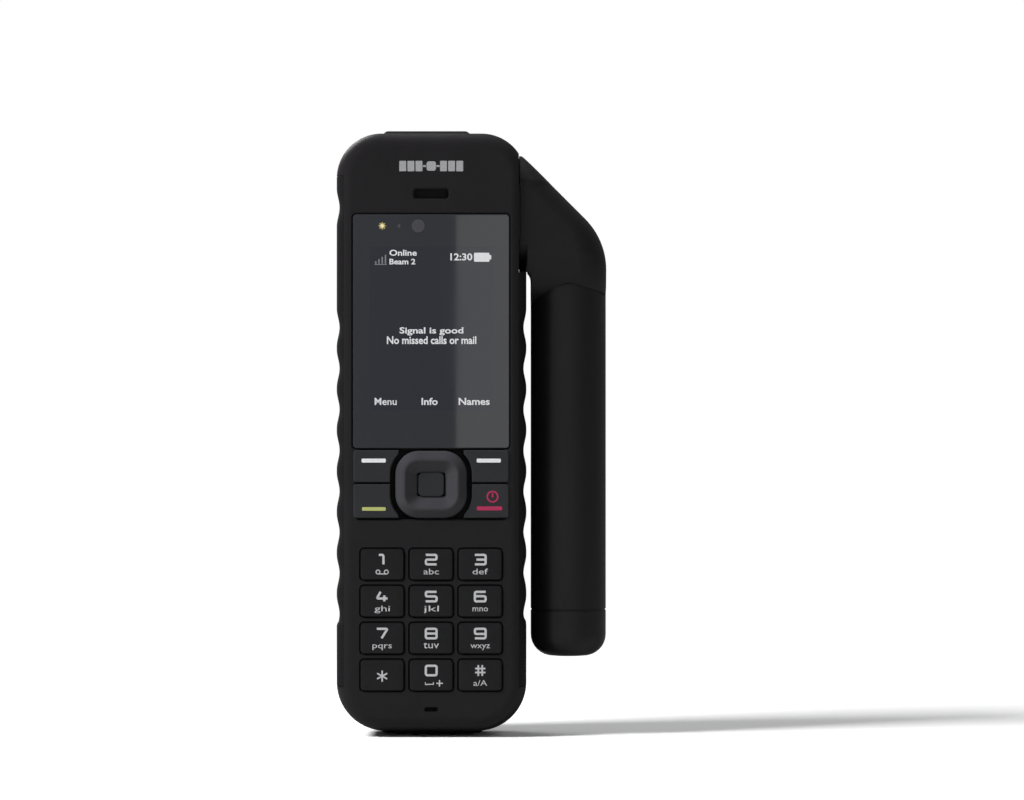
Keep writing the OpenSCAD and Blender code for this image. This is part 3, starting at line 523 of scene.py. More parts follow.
def window_material():
    """Hard-coated window over a dark print, with the display's faintly blue picture area inside."""
    t = Tree("window_glass", 0.12)
    low, high = node_box("display_panel")
    centre = [(low[i] + high[i]) / 2 for i in (0, 2)]
    half = [(high.x - low.x) / 2 - 3.1, (high.z - low.z) / 2 - 3.8]
    place = t.place()
    axes = t.add("ShaderNodeSeparateXYZ", {0: place})
    inside = None
    for axis, middle, reach in ((0, centre[0], half[0]), (2, centre[1], half[1])):
        away = t.maths("ABSOLUTE", t.maths("SUBTRACT", axes.outputs[axis], middle))
        edge = t.ramp(away, 1.0, 0.0, start=reach - 0.15, end=reach + 0.15)
        inside = edge if inside is None else t.maths("MULTIPLY", inside, edge)
    haze = t.noise(place, 24, detail=2)
    print_tone = t.ramp(haze, (0.027, 0.029, 0.033, 1), (0.030, 0.032, 0.0365, 1))
    pixels = t.add("ShaderNodeTexBrick", {"Vector": place, "Scale": 1.0}, offset=0.0, squash=1.0)
    pixels.inputs["Color1"].default_value = (0.031, 0.032, 0.043, 1)
    pixels.inputs["Color2"].default_value = (0.030, 0.031, 0.041, 1)
    pixels.inputs["Mortar"].default_value = (0.027, 0.028, 0.037, 1)
    pixels.inputs["Mortar Size"].default_value = 0.02
    pixels.inputs["Brick Width"].default_value = 0.2
    pixels.inputs["Row Height"].default_value = 0.2
    t.put(t.mix(inside, print_tone, pixels.outputs["Color"]), "Base Color")
    smears = t.noise(t.place((3, 3, 9)), 4, detail=5, roughness=0.6)
    t.shader.inputs["Specular IOR Level"].default_value = 0.05
    t.shader.inputs["Coat Weight"].default_value = 1.0
    t.put(t.ramp(smears, 0.01, 0.03), "Coat Roughness")
    t.put(t.ramp(smears, 0.4, 0.5), "Roughness")
    return t.material


def mesh_cloth(name, colour, pitch=0.32):
    """Fine woven acoustic mesh."""
    t = Tree(name, 0.7)
    place = t.place()
    weave = None
    for direction in ("X", "Z"):
        wave = t.add("ShaderNodeTexWave", {"Vector": place, "Scale": 0.314 / pitch, "Distortion": 0.3},
                     bands_direction=direction)
        weave = wave.outputs[1] if weave is None else t.maths("MULTIPLY", weave, wave.outputs[1])
    t.put(t.ramp(weave, shade(colour, 0.3), shade(colour, 1.6), 0.1, 0.7), "Base Color")
    t.put(t.bump(weave, 0.06), "Normal")
    return t.material


def circuit_board(name):
    """Green solder mask over copper tracks."""
    t = Tree(name, 0.35)
    place = t.place()
    tracks = t.add("ShaderNodeTexBrick", {"Vector": place, "Scale": 1.0}, offset=0.37, squash=0.6)
    tracks.inputs["Color1"].default_value = (0.012, 0.09, 0.035, 1)
    tracks.inputs["Color2"].default_value = (0.015, 0.12, 0.05, 1)
    tracks.inputs["Mortar"].default_value = (0.03, 0.2, 0.08, 1)
    tracks.inputs["Brick Width"].default_value = 3.1
    tracks.inputs["Row Height"].default_value = 1.3
    tracks.inputs["Mortar Size"].default_value = 0.12
    t.put(tracks.outputs["Color"], "Base Color")
    t.put(t.bump(tracks.outputs["Fac"], 0.03), "Normal")
    return t.material


HOUSING = moulded("housing_plastic", (0.0094, 0.0083, 0.0094), 0.5, grain=0.28, depth=0.012)
ARM_PLASTIC = moulded("arm_plastic", (0.0078, 0.0076, 0.0084), 0.48, grain=0.3, depth=0.014)
TUBE_PLASTIC = moulded("tube_plastic", (0.0104, 0.0092, 0.0104), 0.42, grain=0.34, depth=0.01)
RUBBER = moulded("grip_rubber", (0.0064, 0.0065, 0.0066), 0.68, grain=0.22, depth=0.02, specular=0.4)
KEY = moulded("key_plastic", (0.0074, 0.0074, 0.0083), 0.46, grain=0.2, depth=0.008)
FUNCTION_KEY = moulded("function_key_plastic", (0.023, 0.0238, 0.0262), 0.42, grain=0.22, depth=0.008)
NAV = moulded("nav_plastic", (0.038, 0.0375, 0.043), 0.36, grain=0.3, depth=0.006, coat=0.2)
SELECT = moulded("select_plastic", (0.021, 0.023, 0.026), 0.42, grain=0.2, depth=0.008)
SEAL = moulded("seal_rubber", (0.12, 0.12, 0.13), 0.6, grain=0.2)
SOCKET = moulded("socket_plastic", (0.03, 0.03, 0.03), 0.4, grain=0.2)
BUSH = moulded("bush_plastic", (0.72, 0.68, 0.58), 0.4, grain=0.3, mottle=0.04)
FORMER = moulded("former_plastic", (0.7, 0.68, 0.62), 0.45, grain=0.3, mottle=0.05)
RED_BUTTON = moulded("button_red", (0.5, 0.025, 0.02), 0.38, grain=0.25, mottle=0.08)
PACK = moulded("pack_plastic", (0.016, 0.016, 0.018), 0.5, grain=0.3, depth=0.015)
PACK_LABEL = moulded("pack_label", (0.36, 0.37, 0.38), 0.55, grain=0.5, depth=0.004, mottle=0.04)
JACKET = moulded("cable_jacket", (0.03, 0.03, 0.032), 0.5, grain=0.3)
STEEL = brushed("bright_steel", (0.62, 0.62, 0.64))
DARK_STEEL = brushed("screw_steel", (0.16, 0.16, 0.17), 0.34, along=(0.5, 0.5, 0.5))
GOLD = brushed("gold_plate", (0.85, 0.62, 0.24), 0.25)
COPPER = brushed("copper_strip", (0.78, 0.38, 0.2), 0.3)
CLOTH = mesh_cloth("black_mesh", (0.014, 0.014, 0.015))
BOARD = circuit_board("board_green")
GLASS = window_material()
LEGEND = printed("legend_ink", (0.58, 0.58, 0.60))
BAR_WHITE = printed("bar_white", (0.86, 0.86, 0.88))
BAR_GREEN = printed("bar_green", (0.50, 0.53, 0.17))
BAR_RED = printed("bar_red", (0.46, 0.024, 0.10))
EMBLEM = printed("emblem_ink", (0.36, 0.36, 0.37))
SCREEN_TEXT = printed("screen_text", (0.62, 0.62, 0.64), glow=0.25)
SCREEN_DIM = printed("screen_dim", (0.2, 0.2, 0.21), glow=0.05)
LED_GLOW = printed("led_glow", (0.42, 0.34, 0.13), glow=0.1)
LED_CORE = printed("led_core", (0.75, 0.72, 0.42), glow=0.15)
SENSOR = printed("sensor_window", (0.062, 0.061, 0.070))


# ---- handset shells ----

def side_inset(y):
    """How far the handset's outline is drawn in at a depth, by its round front and rear edges."""
    front_start = FACE_Y + FRONT_EDGE_R
    rear_start = BACK_Y - REAR_EDGE_R
    if y < front_start:
        return FRONT_EDGE_R - math.sqrt(max(0.0, FRONT_EDGE_R ** 2 - (front_start - y) ** 2))
    if y > rear_start:
        return REAR_EDGE_R - math.sqrt(max(0.0, REAR_EDGE_R ** 2 - (y - rear_start) ** 2))
    return 0.0


def back_surface(x, z):
    """Depth of the handset's back at a place on it."""
    depth = BODY_HALF_W - abs(x)
    for corner_z, radius, outward in ((BODY_Z0 + CORNER_LOW_R, CORNER_LOW_R, -1),
                                      (BODY_Z1 - CORNER_TOP_R, CORNER_TOP_R, 1)):
        corner_x = BODY_HALF_W - radius
        if abs(x) > corner_x and (z - corner_z) * outward > 0:
            depth = radius - math.hypot(abs(x) - corner_x, z - corner_z)
    depth = min(depth, z - BODY_Z0, BODY_Z1 - z, REAR_EDGE_R)
    depth = max(0.0, depth)
    return BACK_Y - REAR_EDGE_R + math.sqrt(REAR_EDGE_R ** 2 - (REAR_EDGE_R - depth) ** 2)


def handset_ring(inset, y, corner_points=20):
    """The handset's front outline, drawn in by an inset, at one depth."""
    half = BODY_HALF_W - inset
    corners = ((1, BODY_Z1 - CORNER_TOP_R, CORNER_TOP_R, 0), (-1, BODY_Z1 - CORNER_TOP_R, CORNER_TOP_R, 1),
               (-1, BODY_Z0 + CORNER_LOW_R, CORNER_LOW_R, 2), (1, BODY_Z0 + CORNER_LOW_R, CORNER_LOW_R, 3))
    points = []
    for sx, centre_z, radius, quarter in corners:
        r = radius - inset
        for k in range(corner_points + 1):
            angle = (quarter + k / corner_points) * QUARTER
            points.append((sx * (half - r) + r * math.cos(angle), y, centre_z + r * math.sin(angle)))
    return points


def grip_cutter(side, top_z):
    low_x, high_x = sorted((side * GRIP_INNER_X, side * (BODY_HALF_W + 5)))
    return box_solid((low_x, FACE_Y - 2, GRIP_Z0 - 0.05), (high_x, BACK_Y + 2, top_z + 0.05))


GRIP_TOPS = {-1: node_box("side_grip_left")[1].z, 1: node_box("side_grip_right")[1].z}
SCREWS = ((-15, 9), (15, 9), (-19.4, 124), (19.4, 124), (-19.2, 157.5), (17.6, 159.6))
NUMBER_KEYS = {"key_1": "1", "key_2": "2", "key_3": "3", "key_4": "4", "key_5": "5", "key_6": "6", "key_7": "7",
               "key_8": "8", "key_9": "9", "key_star": "*", "key_0": "0", "key_hash": "#"}
KEY_FLANGE = 0.4
KEY_GAP = 0.15
EARPIECE_Z = sum(c.z for c in node_box("earpiece_mesh")) / 2
MIC_Z = sum(c.z for c in node_box("microphone")) / 2


def key_face(name):
    """Centre and size of a key's visible face, in X and Z."""
    low, high = node_box(name)
    centre = ((low.x + high.x) / 2, (low.z + high.z) / 2)
    return centre, (high.x - low.x - 2 * KEY_FLANGE, high.z - low.z - 2 * KEY_FLANGE)


def shell_cutters():
    """Cuts that both shells share: grips and the flat side beside the antenna hub."""
    hub_side = box_solid((HUB_SIDE_X, FACE_Y - 2, HUB_SIDE_Z), (BODY_HALF_W + 5, BACK_Y + 2, BODY_Z1 + 5))
    return [grip_cutter(-1, GRIP_TOPS[-1]), grip_cutter(1, GRIP_TOPS[1]), hub_side, around_hub_step()]


def around_hub_step(points=96):
    """Cuts the flat side a little deeper, except for a low round step that stands inside the arm's rim."""
    low, high = HUB_SIDE_Z - HUB_Z, BODY_Z1 + 5 - HUB_Z
    reach = BACK_Y + 2
    inner, outer = [], []
    for k in range(points):
        angle = 2 * math.pi * k / points
        y, z = math.cos(angle), math.sin(angle)
        inner.append((HUB_STEP_R * y, HUB_Z + HUB_STEP_R * z))
        far_side = reach / max(abs(y), 0.01)
        far_end = (high if z > 0 else -low) / max(abs(z), 0.01)
        far = min(far_side, far_end)
        outer.append((far * y, HUB_Z + far * z))
    x0, x1 = ARM_X0 - HUB_GAP, HUB_SIDE_X + 1
    return loop_skin([[(x, y, z) for y, z in outline]
                      for x, outline in ((x0, inner), (x1, inner), (x1, outer), (x0, outer))])


def lid_recess(node, place, grow=0.3):
    """A cutter for the recess that holds a lid in the top or the bottom of the handset."""
    low, high = node_box(node)
    centre = ((low.x + high.x) / 2, (low.y + high.y) / 2)
    size = (high.x - low.x + 2 * grow, high.y - low.y + 2 * grow)
    if place is top_face:
        return opening(rect(centre, size, 1.2), BODY_Z1, low.z - 0.2, place, lip=0.4)
    return opening(rect(centre, size, 1.2), -BODY_Z0, -high.z - 0.2, place, lip=0.4)


def front_shell():
    steps = 12
    ys = [FACE_Y + FRONT_EDGE_R * (1 - math.cos(k / steps * QUARTER)) for k in range(steps + 1)]
    profile = [(side_inset(y), y) for y in ys]
    profile += [(0, -4), (0, 3), (side_inset(PARTING_Y - 0.25), PARTING_Y - 0.25),
                (side_inset(PARTING_Y) + 0.22, PARTING_Y)]
    body = skin([handset_ring(inset, y) for inset, y in profile])
    window_size = (WINDOW_HIGH.x - WINDOW_LOW.x + 0.5, WINDOW_HIGH.z - WINDOW_LOW.z + 0.5)
    window_centre = (0, (WINDOW_LOW.z + WINDOW_HIGH.z) / 2)
    inner = -(FACE_Y + FRONT_WALL) - 1
    surface = -FACE_Y
    cutters = shell_cutters()
    cutters.append(skin([handset_ring(CAVITY_INSET, y) for y in (FACE_Y + FRONT_WALL, PARTING_Y + 2)]))
    cutters.append(opening(rect(window_centre, window_size, 1.2), surface, -WINDOW_HIGH.y - 0.05, front_face, 0.35))
    cutters.append(opening(rect((0, NAV_Z + 0.1), (41.8, 19.5), 1.2), surface, inner, front_face, 0.35))
    cutters.append(opening(rect((0, EARPIECE_Z), (9.6, 2.6), 0.8), surface, inner, front_face, 0.4))
    cutters.append(opening(rect((0, MIC_Z), (3.7, 1.1), 0.5), surface, inner, front_face, 0.25))
    for name in NUMBER_KEYS:
        centre, size = key_face(name)
        grown = (size[0] + 2 * KEY_GAP, size[1] + 2 * KEY_GAP)
        cutters.append(opening(rect(centre, grown, 1.1), surface, inner, front_face, 0.3))
    rocker_low, rocker_high = node_box("volume_rocker")
    rocker_centre = (0, (rocker_low.z + rocker_high.z) / 2)
    rocker_size = (rocker_high.y - rocker_low.y + 0.6, rocker_high.z - rocker_low.z + 0.6)
    cutters.append(plate(rect(rocker_centre, rocker_size, 2.2), [(0, BODY_HALF_W + 1), (0, GRIP_INNER_X - 0.75)],
                         left_face))
    cutters.append(lid_recess("assist_cover", top_face))
    cutters.append(lid_recess("port_flap", bottom_face))
    button_low, button_high = node_box("assist_button")
    button_x = (button_low.x + button_high.x) / 2
    cutters.append(plate(disc((button_x, 0), 4.15), [(0, BODY_Z1 - 7), (0, BODY_Z1)], top_face))
    for name, radius in (("usb_socket", 1.1), ("headset_socket", 3.1)):
        low, high = node_box(name)
        centre = ((low.x + high.x) / 2, (low.y + high.y) / 2)
        size = (high.x - low.x + 0.3, high.y - low.y + 0.3)
        cutters.append(plate(rect(centre, size, radius), [(0, -high.z - 1), (0, 0)], bottom_face))
    cutters.append(plate(disc((0, HUB_Z), 7.55), [(0, HUB_SIDE_X - 8), (0, HUB_SIDE_X + 2)], right_face))
    piece("front_shell", "handset", [(body, 0)], [HOUSING], ["front_housing"], cutters)


def rear_shell():
    steps = 14
    start = math.asin((PARTING_Y + 0.3 - (BACK_Y - REAR_EDGE_R)) / REAR_EDGE_R)
    profile = [(side_inset(PARTING_Y) + 0.22, PARTING_Y + 0.03)]
    for k in range(steps + 1):
        angle = start + (QUARTER - start) * k / steps
        profile.append((REAR_EDGE_R * (1 - math.cos(angle)), BACK_Y - REAR_EDGE_R * (1 - math.sin(angle))))
    body = skin([handset_ring(inset, y) for inset, y in profile])
    bay_low, bay_high = node_box("battery_pack")
    bay_wall = 1.5
    bay = ((bay_low.x - 0.6, bay_low.y - 0.2, bay_low.z - 1.6), (bay_high.x + 0.6, BACK_Y + 3, bay_high.z + 1.6))
    bay_body = box_solid((bay[0][0] - bay_wall, bay[0][1] - 2, bay[0][2] - bay_wall),
                         (bay[1][0] + bay_wall, PARTING_Y + 1, bay[1][2] + bay_wall))
    cavity = skin([handset_ring(CAVITY_INSET, y) for y in (PARTING_Y - 1, BACK_Y - REAR_WALL)])
    keep = box_solid((bay[0][0] - bay_wall, 0, bay[0][2] - bay_wall), (bay[1][0] + bay_wall, 20, bay[1][2] + bay_wall))
    thing = bpy.data.objects.new("rear_cavity", mesh_of("rear_cavity", [(cavity, 0)]))
    bpy.context.scene.collection.objects.link(thing)
    cut(thing, [keep])
    hollow = ([tuple(c / MM for c in v.co) for v in thing.data.vertices],
              [tuple(p.vertices) for p in thing.data.polygons])
    bpy.data.objects.remove(thing)
    cutters = shell_cutters() + [hollow]
    bay_centre = (0, (bay[0][2] + bay[1][2]) / 2)
    bay_size = (bay[1][0] - bay[0][0], bay[1][2] - bay[0][2])
    cutters.append(opening(rect(bay_centre, bay_size, 1.0), BACK_Y, bay[0][1], back_face, 0.4))
    sim_low, sim_high = node_box("sim_lid")
    sim_centre = (0, (sim_low.z + sim_high.z) / 2 + 0.5)
    sim_size = (sim_high.x - sim_low.x + 0.4, sim_high.z - sim_low.z + 2.4)
    cutters.append(plate(rect(sim_centre, sim_size, 0.8), [(0, bay[0][1] + 1), (0, bay[0][1] - 1)], back_face))
    contact_low, contact_high = node_box("battery_contacts")
    contact_z = (contact_low.z + contact_high.z) / 2
    cutters.append(plate(rect((0, contact_z), (12.2, 5.2), 0.5), [(0, bay[0][1] + 1), (0, bay[0][1] - 1.6)], back_face))
    screw_low, screw_high = node_box("cover_screw")
    screw_z = (screw_low.z + screw_high.z) / 2
    cutters.append(opening(disc((0, screw_z), 1.85), BACK_Y, PARTING_Y, back_face, 0.3))
    cap_low, cap_high = node_box("antenna_port_cap")
    cap_centre = ((cap_low.x + cap_high.x) / 2 + 0.1, (cap_low.z + cap_high.z) / 2)
    cap_size = (cap_high.x - cap_low.x + 1.2, cap_high.z - cap_low.z + 0.6)
    cutters.append(opening(rect(cap_centre, cap_size, 1.6), BACK_Y, cap_low.y - 0.1, back_face, 0.3))
    port_low, port_high = node_box("antenna_port")
    port_centre = ((port_low.x + port_high.x) / 2, (port_low.z + port_high.z) / 2)
    cutters.append(plate(disc(port_centre, 3.65), [(0, PARTING_Y - 1), (0, BACK_Y)], back_face))
    speaker_low, speaker_high = node_box("loudspeaker")
    speaker = ((speaker_low.x + speaker_high.x) / 2, (speaker_low.z + speaker_high.z) / 2)
    for i in range(-2, 3):
        slot_outline = rect((speaker[0], speaker[1] + i * 3.2), (14, 1.2), 0.6)
        cutters.append(opening(slot_outline, BACK_Y, BACK_Y - REAR_WALL - 1, back_face, 0.3))
    for place in SCREWS:
        cutters.append(opening(disc(place, 2.45), back_surface(*place), 12.2, back_face, 0.25))
    thing = piece("rear_shell", "handset", [(body, 0)], [HOUSING], ["rear_housing"], cutters)
    floor_cutters = [opening(rect(bay_centre, bay_size, 1.0), BACK_Y, bay[0][1], back_face, 0.0)] + cutters[5:7]
    piece("battery_bay", "handset", [(bay_body, 0)], [HOUSING], None, floor_cutters)


def scallop_dip(z, side):
    """How far the grip's side dips at a height."""
    centres = [SCALLOP_Z0 + i * SCALLOP_PITCH for i in range(SCALLOP_COUNT)]
    if side < 0:
        centres.append(UPPER_SCALLOP_Z)
    dip = 0.0
    for centre in centres:
        away = abs(z - centre)
        if away < SCALLOP_HALF:
            dip = max(dip, SCALLOP_DEPTH * (0.5 + 0.5 * math.cos(math.pi * away / SCALLOP_HALF)))
    return dip * min(1.0, max(0.0, (z - PAD_TOP_Z) / 0.7))


def side_reach(z):
    """Half width of the handset's outline at a height."""
    for corner_z, radius, outward in ((BODY_Z0 + CORNER_LOW_R, CORNER_LOW_R, -1),
                                      (BODY_Z1 - CORNER_TOP_R, CORNER_TOP_R, 1)):
        beyond = (z - corner_z) * outward
        if beyond > 0:
            return BODY_HALF_W - radius + math.sqrt(max(0.0, radius ** 2 - beyond ** 2))
    return BODY_HALF_W


def grip_section(side, z, shrink=0.0):
    """Cross-section of a grip at a height, closed by the wall it is bonded to."""
    x_side = side_reach(z) - scallop_dip(z, side) - shrink
    inner = GRIP_INNER_X + 0.03
    points = []
    for radius, centre_y, sign, steps in ((FRONT_EDGE_R, FACE_Y + FRONT_EDGE_R, -1, 8),
                                          (REAR_EDGE_R, BACK_Y - REAR_EDGE_R, 1, 8)):
        start = math.asin(max(0.0, min(1.0, (inner - x_side + radius) / radius)))
        turn = [start + (QUARTER - start) * k / steps for k in range(steps + 1)]
        arc = [(x_side - radius + radius * math.sin(a), centre_y + sign * radius * math.cos(a)) for a in turn]
        points += arc if sign < 0 else arc[::-1]
    return [(side * x, y, z) for x, y in points]


def side_grip(side, name, node):
    top_z = GRIP_TOPS[side]
    count = int((top_z - GRIP_Z0) / 0.6)
    rings = [grip_section(side, GRIP_Z0 + 0.05, 0.2), grip_section(side, GRIP_Z0 + 0.25)]
    for k in range(1, count):
        rings.append(grip_section(side, GRIP_Z0 + (top_z - GRIP_Z0) * k / count))
    rings += [grip_section(side, top_z - 0.25), grip_section(side, top_z - 0.05, 0.2)]
    cutters = []
    if side < 0:
        low, high = node_box("volume_rocker")
        centre = (0, (low.z + high.z) / 2)
        size = (high.y - low.y + 0.5, high.z - low.z + 0.5)
        cutters.append(opening(rect(centre, size, 2.2), BODY_HALF_W, GRIP_INNER_X - 1, left_face, 0.3))
    piece(name, "handset", [(skin(rings), 0)], [RUBBER], [node], cutters)


def volume_rocker():
    low, high = node_box("volume_rocker")
    centre = (0, (low.z + high.z) / 2)
    size = (high.y - low.y, high.z - low.z)
    profile = [(0, -high.x)] + crowned(-low.x, 0.6, 0.25, 2.4)
    solids = [(plate(rect(centre, size, 1.95), profile, left_face), 0)]
    mark_z = size[1] / 2 - 4.2
    raised = (-low.x - 0.2, -low.x + 0.05)
    for sign in (-1, 1):
        z = centre[1] + sign * mark_z
        solids.append((ribbon([(-1.1, z), (1.1, z)], 0.45, raised, left_face), 0))
        if sign > 0:
            lifted = (raised[0], raised[1] + STEP)
            solids.append((ribbon([(0, z - 1.1), (0, z + 1.1)], 0.45, lifted, left_face), 0))
    piece("rocker", "volume_rocker", solids, [RUBBER], ["volume_rocker"])


# ---- window, picture, sound openings, emblem ----

def window():
    centre = (0, (WINDOW_LOW.z + WINDOW_HIGH.z) / 2)
    size = (WINDOW_HIGH.x - WINDOW_LOW.x, WINDOW_HIGH.z - WINDOW_LOW.z)
    profile = [(0, -WINDOW_HIGH.y)] + rounded_edge(-WINDOW_LOW.y, 0.22, 4)
    piece("window", "handset", [(plate(rect(centre, size, 1.0), profile, front_face), 0)], [GLASS],
          ["display_window"])


def picture():
    """What the lit display shows: a clock, a battery, a signal meter, a notice and three soft-key names."""
    surface = -WINDOW_LOW.y
    heights = (surface - 0.04, surface + 0.012)
    words = (("Online", (-11.6, 133.7, -4.0, 135.4)), ("Beam 2", (-11.6, 131.3, -4.4, 132.9)),
             ("12:30", (5.3, 132.4, 11.4, 134.4)), ("Signal is good", (-8.8, 111.6, 8.9, 113.9)),
             ("No missed calls or mail", (-12.3, 109.2, 12.5, 111.4)), ("Menu", (-15.7, 92.3, -9.6, 94.3)),
             ("Info", (-2.7, 92.3, 1.8, 94.3)), ("Names", (7.6, 92.3, 16.2, 94.3)))
    solids = [(lettering(text, box, heights, front_face, bold=0.01 if text == "Menu" else 0.022), 0)
              for text, box in words]
    solids.append((plate(rect((14.0, 133.3), (4.3, 2.5), 0.3), [(0, heights[0]), (0, heights[1])], front_face), 0))
    solids.append((plate(rect((16.4, 133.3), (0.5, 1.2), 0.1), [(0, heights[0]), (0, heights[1])], front_face), 0))
    solids.append((ribbon([(-15.8, 131.3), (-12.3, 131.3)], 0.22, heights, front_face), 1))
    for k in range(4):
        bar = [(-15.4 + k * 0.9, 131.5), (-15.4 + k * 0.9, 132.2 + k * 0.6)]
        solids.append((ribbon(bar, 0.4, heights, front_face), 1))
    piece("picture_marks", "handset", solids, [SCREEN_TEXT, SCREEN_DIM], None)


def window_marks():
    """The status lamp's glow, a small arrow mark and the light sensor's grey dot, seen through the window."""
    surface = -WINDOW_LOW.y
    heights = (surface - 0.04, surface + 0.012)
    led_low, led_high = node_box("status_led")
    led = ((led_low.x + led_high.x) / 2, (led_low.z + led_high.z) / 2)
    sensor_low, sensor_high = node_box("light_sensor")
    sensor = ((sensor_low.x + sensor_high.x) / 2, led[1])
    star = []
    for k in range(16):
        angle = k / 16 * 2 * math.pi
        reach = 1.15 if k % 2 == 0 else 0.72
        star.append((led[0] + reach * math.cos(angle), led[1] + reach * math.sin(angle)))
    flat = [(0, heights[0]), (0, heights[1])]
    solids = [(plate(free_outline(star), flat, front_face), 0),
              (plate(disc(led, 0.5, 24), [(0, heights[0]), (0, heights[1] + 0.01)], front_face), 1),
              (plate(disc(sensor, 1.8, 40), flat, front_face), 2)]
    arrow = [(led[0] + 4.0, led[1]), (led[0] + 5.0, led[1] - 0.8), (led[0] + 5.0, led[1] + 0.8)]
    solids.append((plate(free_outline(arrow), flat, front_face), 2))
    piece("window_marks", "handset", solids, [LED_GLOW, LED_CORE, SENSOR], None)


def emblem():
    """A plain pictogram of a satellite, with two panels and a body, printed above the earpiece."""
    surface = -FACE_Y
    heights = (surface - 0.03, surface + 0.015)
    flat = [(0, heights[0]), (0, heights[1])]
    z = 158.6
    solids = []
    for sign in (-1, 1):
        for k in range(3):
            cell = rect((sign * (3.4 + k * 2.25), z), (1.9, 2.9), 0.15, 3)
            solids.append((plate(cell, flat, front_face), 0))
        solids.append((ribbon([(sign * 1.45, z), (sign * 2.3, z)], 0.5, heights, front_face), 0))
    solids.append((plate(rect((0, z), (2.6, 2.6), 0.6, 5), flat, front_face), 0))
    piece("emblem", "handset", solids, [EMBLEM], None)


def earpiece_cloth():
    low, high = node_box("earpiece_mesh")
    centre = (0, (low.z + high.z) / 2)
    size = (high.x - low.x, high.z - low.z)
    profile = [(0, -high.y), (0, -low.y - 0.05), (-0.3, -low.y), (-1.2, -low.y + 0.0)]
    piece("earpiece_cloth", "handset", [(plate(rect(centre, size, 1.0), profile, front_face), 0)], [CLOTH],
          ["earpiece_mesh"])


# ---- keys ----

def key_back(name, centre, flange_size):
    """The hidden flange and stem that every key has behind the front wall."""
    low, high = node_box(name)
    flange_front = -(FACE_Y + FRONT_WALL + 0.15)
    flange = plate(rect(centre, flange_size, 1.0), [(0, flange_front - 0.5), (0, flange_front)], front_face)
    stem = rod(centre, 1.5, (-high.y, flange_front - 0.4), front_face, 24)
    return [(flange, 0), (stem, 0)]


def key_letters(name):
    return {"key_2": "abc", "key_3": "def", "key_4": "ghi", "key_5": "jkl", "key_6": "mno", "key_7": "pqrs",
            "key_8": "tuv", "key_9": "wxyz"}.get(name)


def number_key(name):
    centre, size = key_face(name)
    low, high = node_box(name)
    front = -low.y
    x, z = centre
    back = -(FACE_Y + FRONT_WALL)
    profile = [(0, back - 0.6)] + crowned(front, 0.45, 0.12, 2.6)
    solids = [(plate(rect(centre, size, 1.0), profile, front_face), 0)]
    solids += key_back(name, centre, (high.x - low.x, high.z - low.z))
    heights = (front - 0.2, front + 0.02)
    sign = NUMBER_KEYS[name]
    middle, extent, width = (x, z + 1.35), (3.6, 3.25), 0.62
    if sign == "*":
        middle, extent, width = (x, z - 0.2), (3.2, 3.5), 0.42
    if sign == "#":
        extent, width = (3.2, 3.2), 0.46
    for stroke in digit(sign, middle, extent, width, heights, front_face):
        solids.append((stroke, 1))
    letters = key_letters(name)
    if letters:
        half = 0.56 * len(letters) + 0.45
        tail = any(c in "gjpqy" for c in letters)
        tall = any(c in "bdfhklt" for c in letters)
        box = (x - half, z - 2.75 - (0.5 if tail else 0), x + half, z - 1.65 + (0.5 if tall else 0))
        solids.append((lettering(letters, box, heights, front_face), 1))
    if name == "key_1":
        for side in (-1, 1):
            loop = disc((x + side * 1.15, z - 2.1), 0.55, 14)(0)
            solids.append((ribbon(loop, 0.26, heights, front_face, closed=True), 1))
        lifted = (heights[0], heights[1] + STEP)
        solids.append((ribbon([(x - 1.2, z - 2.62), (x + 1.2, z - 2.62)], 0.26, lifted, front_face), 1))
    if name == "key_0":
        space = [(x - 1.6, z - 1.9), (x - 1.6, z - 2.5), (x + 0.6, z - 2.5), (x + 0.6, z - 1.9)]
        solids.append((ribbon(space, 0.26, heights, front_face), 1))
        solids.append((ribbon([(x + 1.4, z - 2.2), (x + 3.2, z - 2.2)], 0.34, heights, front_face), 1))
        lifted = (heights[0], heights[1] + STEP)
        solids.append((ribbon([(x + 2.3, z - 3.1), (x + 2.3, z - 1.3)], 0.34, lifted, front_face), 1))
    if name == "key_hash":
        solids.append((lettering("a/A", (x - 1.9, z - 2.9, x + 1.9, z - 1.3), heights, front_face), 1))
    piece(name + "_cap", name, solids, [KEY, LEGEND], [name])


def nav_boundary(dz, gap):
    """Half width of the navigation ring's outline, grown by a gap, at a height from its middle."""
    half_w = (NAV_HIGH.x - NAV_LOW.x) / 2 + gap
    half_h = (NAV_HIGH.z - NAV_LOW.z) / 2 + gap
    radius = 6.5 + gap
    beyond = abs(dz) - (half_h - radius)
    if beyond <= 0:
        return half_w
    return half_w - radius + math.sqrt(max(0.0, radius ** 2 - beyond ** 2))


